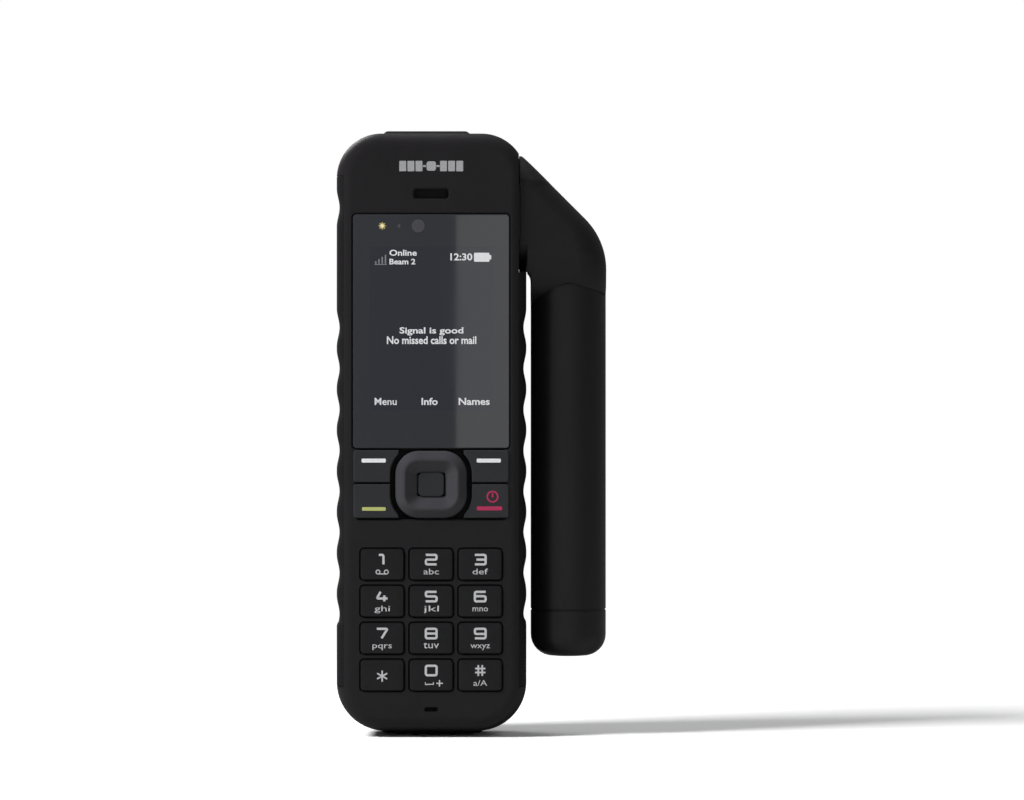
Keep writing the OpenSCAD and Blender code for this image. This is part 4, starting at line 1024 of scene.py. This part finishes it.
def function_key(name, side, marks, bar_material):
    low, high = node_box(name)
    outer_x = max(abs(low.x), abs(high.x))
    front = -low.y
    z0, z1 = low.z, high.z
    corner = 0.9
    outline = []
    for centre_z, quarter in ((z0 + corner, 3), (z1 - corner, 0)):
        for k in range(6):
            angle = (quarter + k / 5) * QUARTER
            outline.append((outer_x - corner + corner * math.cos(angle), centre_z + corner * math.sin(angle)))
    count = 16
    for k in range(count + 1):
        z = z1 - (z1 - z0) * k / count
        outline.append((max(9.0, nav_boundary(z - NAV_Z, 1.35)), z))
    if side < 0:
        outline = [(-x, z) for x, z in outline][::-1]
    profile = [(0, -(FACE_Y + FRONT_WALL) - 0.6)] + rounded_edge(front, 0.4, 4)
    solids = [(plate(free_outline(outline), profile, front_face), 0)]
    stem_centre = (side * 16.4, (z0 + z1) / 2)
    solids.append((rod(stem_centre, 1.5, (-high.y, -(FACE_Y + FRONT_WALL) - 0.4), front_face, 24), 0))
    heights = (front - 0.1, front + 0.02)
    for mark in marks(side, heights):
        solids.append((mark, 1))
    piece(name + "_cap", name, solids, [FUNCTION_KEY, bar_material], [name])


def soft_key_marks(side, heights):
    return [plate(rect((side * 15.95, 76.9), (6.7, 1.1), 0.3, 4), [(0, heights[0]), (0, heights[1])], front_face)]


def call_key_marks(side, heights):
    bar = plate(rect((side * 15.9, 63.5), (6.6, 1.0), 0.3, 4), [(0, heights[0]), (0, heights[1])], front_face)
    return [bar]


def end_key_marks(side, heights):
    flat = [(0, heights[0]), (0, heights[1])]
    bar = plate(rect((side * 16.15, 63.65), (7.0, 1.1), 0.3, 4), flat, front_face)
    ring = ribbon(disc((17.0, 66.9), 1.45, 28)(0), 0.42, heights, front_face, closed=True)
    stroke = ribbon([(17.0, 66.7), (17.0, 67.9)], 0.42, heights, front_face)
    return [bar, ring, stroke]


def nav_ring():
    centre = (0, NAV_Z)
    size = (NAV_HIGH.x - NAV_LOW.x, NAV_HIGH.z - NAV_LOW.z)
    front = -NAV_LOW.y
    back = -NAV_HIGH.y
    profile = [(-6.1, back), (-0.2, back), (0, back + 0.3), (0, front - 1.75), (-0.08, front - 1.4),
               (-0.35, front - 1.1), (-1.9, front - 0.2), (-2.3, front - 0.05), (-2.6, front),
               (-2.85, front - 0.05), (-3.05, front - 0.2), (-5.85, front - 1.65), (-6.1, front - 1.85)]
    outline = rect(centre, size, 6.5, 14)
    ring = loop_skin([[front_face(u, v, h) for u, v in outline(grow)] for grow, h in profile])
    piece("navigation_ring", "nav_ring", [(ring, 0)], [NAV], ["nav_ring"], sharp=50)


def select_key():
    low, high = node_box("select_key")
    centre = (0, NAV_Z)
    front = -low.y
    profile = [(0, -(high.y - 2.4))] + rounded_edge(front, 0.3, 4)
    solids = [(plate(rect(centre, (7.2, 6.7), 1.4), profile, front_face), 0),
              (rod(centre, 1.5, (-high.y, front - 1.0), front_face, 24), 0)]
    piece("select_cap", "select_key", solids, [SELECT], ["select_key"])


# ---- lids and covers ----

def hinge_barrel(x0, x1, y, z, radius):
    return rod((y, z), radius, (x0, x1), right_face, 24)


def assist_cover():
    low, high = node_box("assist_cover")
    hinge_y = high.y - 1
    centre = ((low.x + high.x) / 2, (low.y + hinge_y) / 2)
    size = (high.x - low.x, hinge_y - low.y)
    top = high.z
    profile = [(-0.4, low.z), (0, low.z + 0.3), (0, top - 1.25), (-0.15, top - 0.95), (-1.0, top - 0.28),
               (-1.5, top - 0.06), (-2.2, top)]
    solids = [(plate(rect(centre, size, 1.3, 6), profile, top_face), 0),
              (hinge_barrel(low.x + 2, high.x - 2, hinge_y, top - 1, 1.0), 0)]
    cutters = []
    for k in range(3):
        groove = rect((centre[0], low.y + 2.6 + k * 1.4), (11, 0.5), 0.24, 3)
        cutters.append(plate(groove, [(0.5, top + 0.5), (0, top - 0.3)], top_face))
    piece("assist_lid", "assist_cover", solids, [RUBBER], ["assist_cover"], cutters)


def assist_button():
    low, high = node_box("assist_button")
    centre = ((low.x + high.x) / 2, 0)
    profile = [(0, low.z), (0, low.z + 0.8), (-0.1, low.z + 0.9), (-0.8, low.z + 0.95), (-0.8, high.z - 0.5),
               (-0.95, high.z - 0.15), (-1.3, high.z), (-1.9, high.z - 0.02), (-4.2, high.z - 0.25)]
    solid = plate(disc(centre, (high.x - low.x) / 2, 56), profile, top_face)
    piece("assist_knob", "assist_button", [(solid, 0)], [RED_BUTTON], ["assist_button"])


def port_flap():
    low, high = node_box("port_flap")
    hinge_y = high.y - 1
    centre = (0, (low.y + hinge_y) / 2)
    size = (high.x - low.x, hinge_y - low.y)
    floor = BODY_Z0 - 1
    body_profile = [(-0.5, -high.z), (0, -high.z + 0.4)] + rounded_edge(-floor, 0.8, 5) + [(-2.0, -floor)]
    lip_profile = [(0, -floor - 0.5)] + rounded_edge(-low.z, 0.5, 4)
    solids = [(plate(rect(centre, size, 2.2, 8), body_profile, bottom_face), 0),
              (plate(rect((0.5, 0), (13, 8), 1.6, 8), lip_profile, bottom_face), 0),
              (hinge_barrel(low.x + 2, high.x - 2, hinge_y, BODY_Z0, 1.0), 0)]
    for x, y, plug in ((-6.5, -2.5, (6.4, 1.9)), (6.5, -2.5, (3.0, 3.0))):
        profile = [(0, -high.z + 0.2), (0, -high.z - 0.15), (-0.2, -high.z - 0.28)]
        solids.append((plate(rect((x, y), plug, 0.9), profile, bottom_face), 0))
    piece("flap", "port_flap", solids, [RUBBER], ["port_flap"])


def port_cap():
    low, high = node_box("antenna_port_cap")
    centre = (low.x + 0.6 + 6, (low.z + high.z) / 2)
    profile = [(-0.3, low.y), (0, low.y + 0.25)] + rounded_edge(high.y, 0.45, 5)
    solids = [(plate(rect(centre, (12, 11), 1.5), profile, back_face), 0),
              (plate(disc((low.x + 0.6, low.y + 0.6), 0.6, 24), [(0, centre[1] - 4), (0, centre[1] + 4)], top_face), 0)]
    nick = plate(rect((centre[0] + 5.2, centre[1]), (1.4, 5), 0.6), [(0.3, high.y + 0.5), (0, high.y - 0.45)], back_face)
    piece("port_cap", "antenna_port_cap", solids, [RUBBER], ["antenna_port_cap"], [nick])


def battery_cover():
    low, high = node_box("battery_cover")
    centre = (0, (low.z + high.z) / 2)
    size = (high.x - low.x, high.z - low.z)
    outline = rect(centre, size, 6, 12)
    top = high.y
    rings = [[(x, back_surface(x, z) + 0.03, z) for x, z in outline(-0.25)],
             [(x, back_surface(x, z) + 0.28, z) for x, z in outline(0)]]
    steps = 8
    for k in range(steps + 1):
        angle = k / steps * QUARTER
        height = top - 0.4 - 2.6 * (1 - math.sin(angle))
        rings.append([(x, height, z) for x, z in outline(-2.6 * (1 - math.cos(angle)))])
    for inset, drop in ((4.5, 0.22), (8, 0.1), (13, 0.02), (18, 0.0)):
        rings.append([(x, top - drop, z) for x, z in outline(-inset)])
    pack_low, pack_high = node_box("battery_pack")
    hollow = box_solid((pack_low.x - 0.3, BACK_Y - 3, pack_low.z - 0.4), (pack_high.x + 0.3, top - 1.5, pack_high.z + 0.4))
    screw_low, screw_high = node_box("cover_screw")
    screw = (0, (screw_low.z + screw_high.z) / 2)
    cutters = [hollow, plate(disc(screw, 1.85), [(0, BACK_Y - 2), (0, top + 1)], back_face),
               opening(disc(screw, 4.2), top - 0.35, screw_high.y - 1.7, back_face, 0.35)]
    for k in range(5):
        groove = rect((0, high.z - 9 - k * 1.9), (22 - 2.4 * abs(k - 2), 0.8), 0.38, 4)
        cutters.append(plate(groove, [(0.6, top + 0.6), (0, top - 0.42)], back_face))
    piece("battery_door", "battery_cover", [(skin(rings), 0)], [HOUSING], ["battery_cover"], cutters)


def cover_screw():
    low, high = node_box("cover_screw")
    centre = (0, (low.z + high.z) / 2)
    head_low = high.y - 1.6
    profile = [(-0.2, head_low), (0, head_low + 0.2)] + rounded_edge(high.y, 0.35, 4)
    head = plate(disc(centre, 4.0, 64), profile, back_face)
    shank = plate(disc(centre, 1.75, 32), [(-0.3, low.y), (0, low.y + 0.4), (0, head_low + 0.3)], back_face)
    slot = plate(rect(centre, (7.0, 1.2), 0.55, 5), [(0.15, high.y + 0.4), (0, high.y - 0.2), (0, high.y - 0.9)], back_face)
    piece("coin_screw", "cover_screw", [(head, 0), (shank, 0)], [DARK_STEEL], ["cover_screw"], [slot])


def case_screws():
    solids, cutters = [], []
    for place in SCREWS:
        profile = [(0, 12.25)] + rounded_edge(13.7, 0.5, 4)
        solids.append((plate(disc(place, 2.3, 40), profile, back_face), 0))
        solids.append((plate(disc(place, 1.2, 24), [(0, -4), (0, 12.4)], back_face), 0))
        cutters.append(plate(disc(place, 1.15, 6), [(0, 14.5), (0, 12.75)], back_face))
    piece("case_screw_set", "handset", solids, [DARK_STEEL], ["case_screws"], cutters)


def battery_pack():
    low, high = node_box("battery_pack")
    centre = (0, (low.z + high.z) / 2)
    size = (high.x - low.x, high.z - low.z)
    profile = [(-0.8, low.y), (-0.25, low.y + 0.25), (0, low.y + 0.9), (0, high.y - 0.9), (-0.25, high.y - 0.25),
               (-0.8, high.y), (-3, high.y)]
    solids = [(plate(rect(centre, size, 2.0), profile, back_face), 0)]
    label = plate(rect((0, centre[1] - 3), (size[0] - 7, size[1] - 26), 1.5),
                  [(0, high.y - 0.1), (-0.02, high.y + 0.06)], back_face)
    solids.append((label, 1))
    for k, width in enumerate((20, 24, 14)):
        bar = rect((-14.6 + width / 2 + 0.6, centre[1] + 18 - k * 4.4), (width, 1.4), 0.3, 3)
        solids.append((plate(bar, [(0, high.y), (0, high.y + 0.08)], back_face), 0))
    pull = ribbon([(-6, low.z + 6.2), (6, low.z + 6.2)], 3.2, (high.y - 0.1, high.y + 0.15), back_face)
    solids.append((pull, 2))
    for k in (-1.5, -0.5, 0.5, 1.5):
        pad = rect((k * 2.6, 107), (1.6, 4.0), 0.2, 3)
        solids.append((plate(pad, [(0, -low.y + 0.06), (0, -low.y - 0.2)], front_face), 3))
    piece("pack", "battery_pack", solids, [PACK, PACK_LABEL, BAR_GREEN, GOLD], ["battery_pack"])


# ---- antenna ----

def arm_outer_x(z):
    """X of the arm's outer side at a height: straight, then one large arc, then a 45-degree slant."""
    corner_x = ARM_X1 - ARM_CORNER_R
    if z <= ARM_CORNER_Z:
        return ARM_X1
    tangent_z = ARM_CORNER_Z + ARM_CORNER_R * math.sin(math.pi / 4)
    if z <= tangent_z:
        return corner_x + math.sqrt(ARM_CORNER_R ** 2 - (z - ARM_CORNER_Z) ** 2)
    return corner_x + ARM_CORNER_Z + ARM_CORNER_R * math.sqrt(2) - z


def arm_inner_x(z):
    """X of the arm's inner side at a height, with the rounded top of the slit beside the handset."""
    inner = TUBE_X - TUBE_R
    if z > SLIT_TOP_Z - 0.15:
        return ARM_X0
    if z <= SLIT_LOW_Z:
        return inner
    t = (SLIT_TOP_Z - z) / (SLIT_TOP_Z - SLIT_LOW_Z)
    slit_x = ARM_RELIEF_X - 0.5
    return slit_x + (inner - slit_x) * math.sqrt(1 - (1 - t) ** 2)


def arm_half_depth(z):
    """Half depth of the arm at a height: a large round at the hub that leans into a smaller one."""
    lean = math.asin((HUB_R - ARM_LOWER_R) / (HUB_Z - ARM_LOWER_Z))
    top_z = HUB_Z - HUB_R * math.sin(lean)
    low_z = ARM_LOWER_Z - ARM_LOWER_R * math.sin(lean)
    if z >= top_z:
        return min(ARM_HALF_DEPTH, math.sqrt(max(0.0, HUB_R ** 2 - (z - HUB_Z) ** 2)))
    if z <= low_z:
        return math.sqrt(max(0.0, ARM_LOWER_R ** 2 - (z - ARM_LOWER_Z) ** 2))
    t = (z - low_z) / (top_z - low_z)
    return min(ARM_HALF_DEPTH, (ARM_LOWER_R * (1 - t) + HUB_R * t) * math.cos(lean))


def arm_section(z):
    """Plan section of the arm at a height, with a soft outer edge and a tight one beside the handset."""
    x0, x1 = arm_inner_x(z), arm_outer_x(z)
    depth = max(0.04, arm_half_depth(z))
    width = max(0.06, x1 - x0)
    outer_r = min(8.0, 0.85 * depth, 0.85 * width)
    inner_r = min(0.3, 0.4 * depth, 0.1 * width)
    points = []
    for sx, sy, radius, quarter in ((1, 1, outer_r, 0), (-1, 1, inner_r, 1), (-1, -1, inner_r, 2), (1, -1, outer_r, 3)):
        cx = x1 - radius if sx > 0 else x0 + radius
        cy = sy * (depth - radius)
        for k in range(11):
            angle = (quarter + k / 10) * QUARTER
            points.append((cx + radius * math.cos(angle), cy + radius * math.sin(angle), z))
    return points


def arm():
    low_z = ARM_LOWER_Z - ARM_LOWER_R + 0.003
    high_z = HUB_Z + HUB_R - 0.003
    steps = 90
    middle, half = (low_z + high_z) / 2, (high_z - low_z) / 2
    zs = [middle - half * math.cos(math.pi * k / steps) for k in range(steps + 1)]
    zs = sorted(zs + [SLIT_TOP_Z - 0.1, SLIT_TOP_Z - 0.2] + [SLIT_LOW_Z + 0.5 * k for k in range(5)])
    solid = skin([arm_section(z) for z in zs])
    clearance = plate(disc((TUBE_X, 0), TUBE_R + 0.22, 96), [(0, 100), (0, 126.6)], top_face)
    neck = plate(disc((TUBE_X, 0), 8.05, 64), [(0, 120), (0, 132.1)], top_face)
    bore = plate(disc((0, HUB_Z), 6.05, 64), [(0, ARM_X0 - 2), (0, 32.9)], right_face)
    around_hub = [(-2 * HUB_R, HUB_Z), (-2 * HUB_R, HUB_Z - 2 * HUB_R), (2 * HUB_R, HUB_Z - 2 * HUB_R), (2 * HUB_R, HUB_Z)]
    for k in range(65):
        angle = -math.pi * k / 64
        around_hub.append((HUB_R * math.cos(angle), HUB_Z + HUB_R * math.sin(angle)))
    relief = skin([[(x, y, z) for y, z in around_hub] for x in (ARM_X0 - 1, ARM_RELIEF_X)])
    recess = plate(disc((0, HUB_Z), HUB_STEP_R + 0.1, 96), [(0, ARM_X0 - 1), (0, ARM_X0 + HUB_STEP)], right_face)
    for name, node, sign in (("arm_shell_front", "arm_front", -1), ("arm_shell_rear", "arm_rear", 1)):
        far = sign * -30
        y0, y1 = sorted((sign * 0.05, far))
        splitter = skin([[(x, y, z) for x, z in ((10, 100), (70, 100), (70, 180), (10, 180))] for y in (y0, y1)])
        piece(name, "antenna", [(solid, 0)], [ARM_PLASTIC], [node],
              [relief, recess, splitter, clearance, neck, bore], solver="MANIFOLD")


def radome():
    profile = []
    end_r = 6.0
    for k in range(9):
        angle = k / 8 * QUARTER
        profile.append((-end_r * (1 - math.sin(angle)), TUBE_LOW.z + end_r * (1 - math.cos(angle))))
    groove_z = TUBE_LOW.z + 13
    profile += [(0, groove_z - 0.35), (-0.22, groove_z - 0.1), (-0.22, groove_z + 0.1), (0, groove_z + 0.35)]
    profile += [(0, 118), (0, 126.1), (-0.4, 126.5), (-(TUBE_R - 8), 126.5), (-(TUBE_R - 8), 131.8), (-(TUBE_R - 7.7), 132)]
    outline = disc((TUBE_X, 0), TUBE_R, 128)
    hollow = plate(disc((TUBE_X, 0), TUBE_R - 1.5, 64), [(0, 29), (0, 124.5)], top_face)
    throat = plate(disc((TUBE_X, 0), 6.5, 64), [(0, 120), (0, 134)], top_face)
    piece("antenna_tube", "antenna", [(plate(outline, profile, top_face), 0)], [TUBE_PLASTIC], ["radome"],
          [hollow, throat])


# ---- CAD nodes that keep their own shape ----

def dress(names, material, edge=0.12):
    """Gives CAD nodes a material and softens their edges."""
    for name in names:
        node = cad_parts[name]
        node.data.materials.clear()
        node.data.materials.append(material)
        weld = node.modifiers.new("weld", "WELD")
        weld.merge_threshold = 0.0005 * MM
        if edge:
            bevel = node.modifiers.new("soft edge", "BEVEL")
            bevel.width = edge * MM
            bevel.segments = 2
            bevel.limit_method = "ANGLE"
            bevel.angle_limit = math.radians(45)
            bevel.harden_normals = True


def stage_set():
    """Pale floor, soft studio lights, and the camera at a long lens straight in front."""
    scene = bpy.context.scene
    scene.view_settings.view_transform = "Standard"
    world = bpy.data.worlds.new("studio")
    scene.world = world
    world.use_nodes = True
    nodes, links = world.node_tree.nodes, world.node_tree.links
    nodes.clear()
    ray = nodes.new("ShaderNodeLightPath")
    dim = nodes.new("ShaderNodeBackground")
    dim.inputs[0].default_value = (0.98, 0.99, 1.0, 1)
    dim.inputs[1].default_value = 0.16
    white = nodes.new("ShaderNodeBackground")
    white.inputs[0].default_value = (1, 1, 1, 1)
    white.inputs[1].default_value = 1.0
    blend = nodes.new("ShaderNodeMixShader")
    output = nodes.new("ShaderNodeOutputWorld")
    links.new(ray.outputs["Is Camera Ray"], blend.inputs[0])
    links.new(dim.outputs[0], blend.inputs[1])
    links.new(white.outputs[0], blend.inputs[2])
    links.new(blend.outputs[0], output.inputs[0])
    floor_stage()
    aim = Vector((0.012, 0, 0.09))
    soft_light("key", (-0.95, -0.42, 1.0), aim, (0.4, 0.4), 36, mirrored=False)
    soft_light("front", (0.3, -1.5, 0.3), aim, (0.7, 0.7), 2.9, mirrored=False)
    soft_light("top", (0.0, 0.15, 1.2), aim, (0.9, 0.6), 0.8)
    soft_light("right", (0.85, -0.5, 0.8), aim, (0.4, 0.6), 0.4, mirrored=False)
    soft_light("rear_left", (-0.6, 0.9, 0.95), aim, (0.6, 0.6), 7)
    soft_light("rear_right", (0.7, 0.9, 0.95), aim, (0.6, 0.7), 3.5, mirrored=False)
    window_band()
    camera()


def floor_stage():
    """A pale floor that fades into the white background."""
    size = 3.0
    mesh = bpy.data.meshes.new("floor")
    mesh.from_pydata([(-size, -size, 0), (size, -size, 0), (size, size, 0), (-size, size, 0)], [], [(0, 1, 2, 3)])
    floor = bpy.data.objects.new("floor", mesh)
    bpy.context.scene.collection.objects.link(floor)
    t = Tree("pale_floor", 0.9)
    t.shader.inputs["Specular IOR Level"].default_value = 0.1
    t.shader.inputs["Base Color"].default_value = (0.82, 0.82, 0.82, 1)
    away = t.add("ShaderNodeVectorMath", {0: t.add("ShaderNodeTexCoord").outputs["Object"]}, operation="LENGTH")
    fade = t.ramp(away.outputs["Value"], 0.0, 1.0, start=0.12, end=0.6)
    seen = t.add("ShaderNodeLightPath").outputs["Is Camera Ray"]
    white = t.add("ShaderNodeEmission", {"Strength": 1.0})
    lit = t.add("ShaderNodeMixShader", {0: fade, 1: t.shader.outputs[0], 2: white.outputs[0]})
    dim = t.add("ShaderNodeBsdfDiffuse", {"Color": (0.2, 0.2, 0.2, 1)})
    chosen = t.add("ShaderNodeMixShader", {0: seen, 1: dim.outputs[0], 2: lit.outputs[0]})
    t.tree.links.new(chosen.outputs[0], t.tree.nodes["Material Output"].inputs[0])
    mesh.materials.append(t.material)


def soft_light(name, place, aim, size, power, mirrored=True):
    data = bpy.data.lights.new(name, "AREA")
    data.shape = "RECTANGLE"
    data.size, data.size_y = size
    data.energy = power
    lamp = bpy.data.objects.new(name, data)
    lamp.location = place
    lamp.rotation_euler = (aim - Vector(place)).to_track_quat("-Z", "Y").to_euler()
    lamp.visible_camera = False
    lamp.visible_glossy = mirrored
    bpy.context.scene.collection.objects.link(lamp)


def window_band():
    """A narrow panel behind the camera that the glass window mirrors as a lighter band on its right."""
    soft_light("band", (0.03, -3.0, 0.16), Vector((0.03, 0, 0.16)), (0.124, 0.5), 0.2)


def camera():
    data = bpy.data.cameras.new("camera")
    data.lens = 150
    data.sensor_width = 36
    data.clip_start = 0.01
    data.clip_end = 50
    view = bpy.data.objects.new("camera", data)
    view.location = (0.0224, -1.199, 0.0937)
    view.rotation_euler = (QUARTER, 0, 0)
    bpy.context.scene.collection.objects.link(view)
    bpy.context.scene.camera = view


front_shell()
rear_shell()
side_grip(-1, "grip_left", "side_grip_left")
side_grip(1, "grip_right", "side_grip_right")
volume_rocker()
window()
picture()
window_marks()
emblem()
earpiece_cloth()
for key_name in NUMBER_KEYS:
    number_key(key_name)
function_key("soft_key_left", -1, soft_key_marks, BAR_WHITE)
function_key("soft_key_right", 1, soft_key_marks, BAR_WHITE)
function_key("call_key", -1, call_key_marks, BAR_GREEN)
function_key("end_key", 1, end_key_marks, BAR_RED)
nav_ring()
select_key()
assist_cover()
assist_button()
port_flap()
port_cap()
battery_cover()
cover_screw()
case_screws()
battery_pack()
arm()
radome()

dress(["housing_seal", "hinge_seal"], SEAL, 0)
dress(["keypad_mat"], RUBBER, 0)
dress(["display_panel"], GLASS)
dress(["status_led", "light_sensor", "headset_socket"], SOCKET)
dress(["microphone"], CLOTH)
dress(["earpiece_speaker", "usb_socket", "shield_cans", "sim_holder", "sim_lid", "hinge_shaft",
       "retaining_clip"], STEEL, 0.05)
dress(["loudspeaker"], CLOTH)
dress(["main_board"], BOARD)
dress(["antenna_port", "battery_contacts"], GOLD, 0.08)
dress(["hinge_bush"], BUSH)
dress(["nav_pad"], SOCKET)
dress(["antenna_core"], FORMER)
dress(["antenna_helix"], COPPER, 0)
dress(["coax_cable"], JACKET, 0)

stage_set()
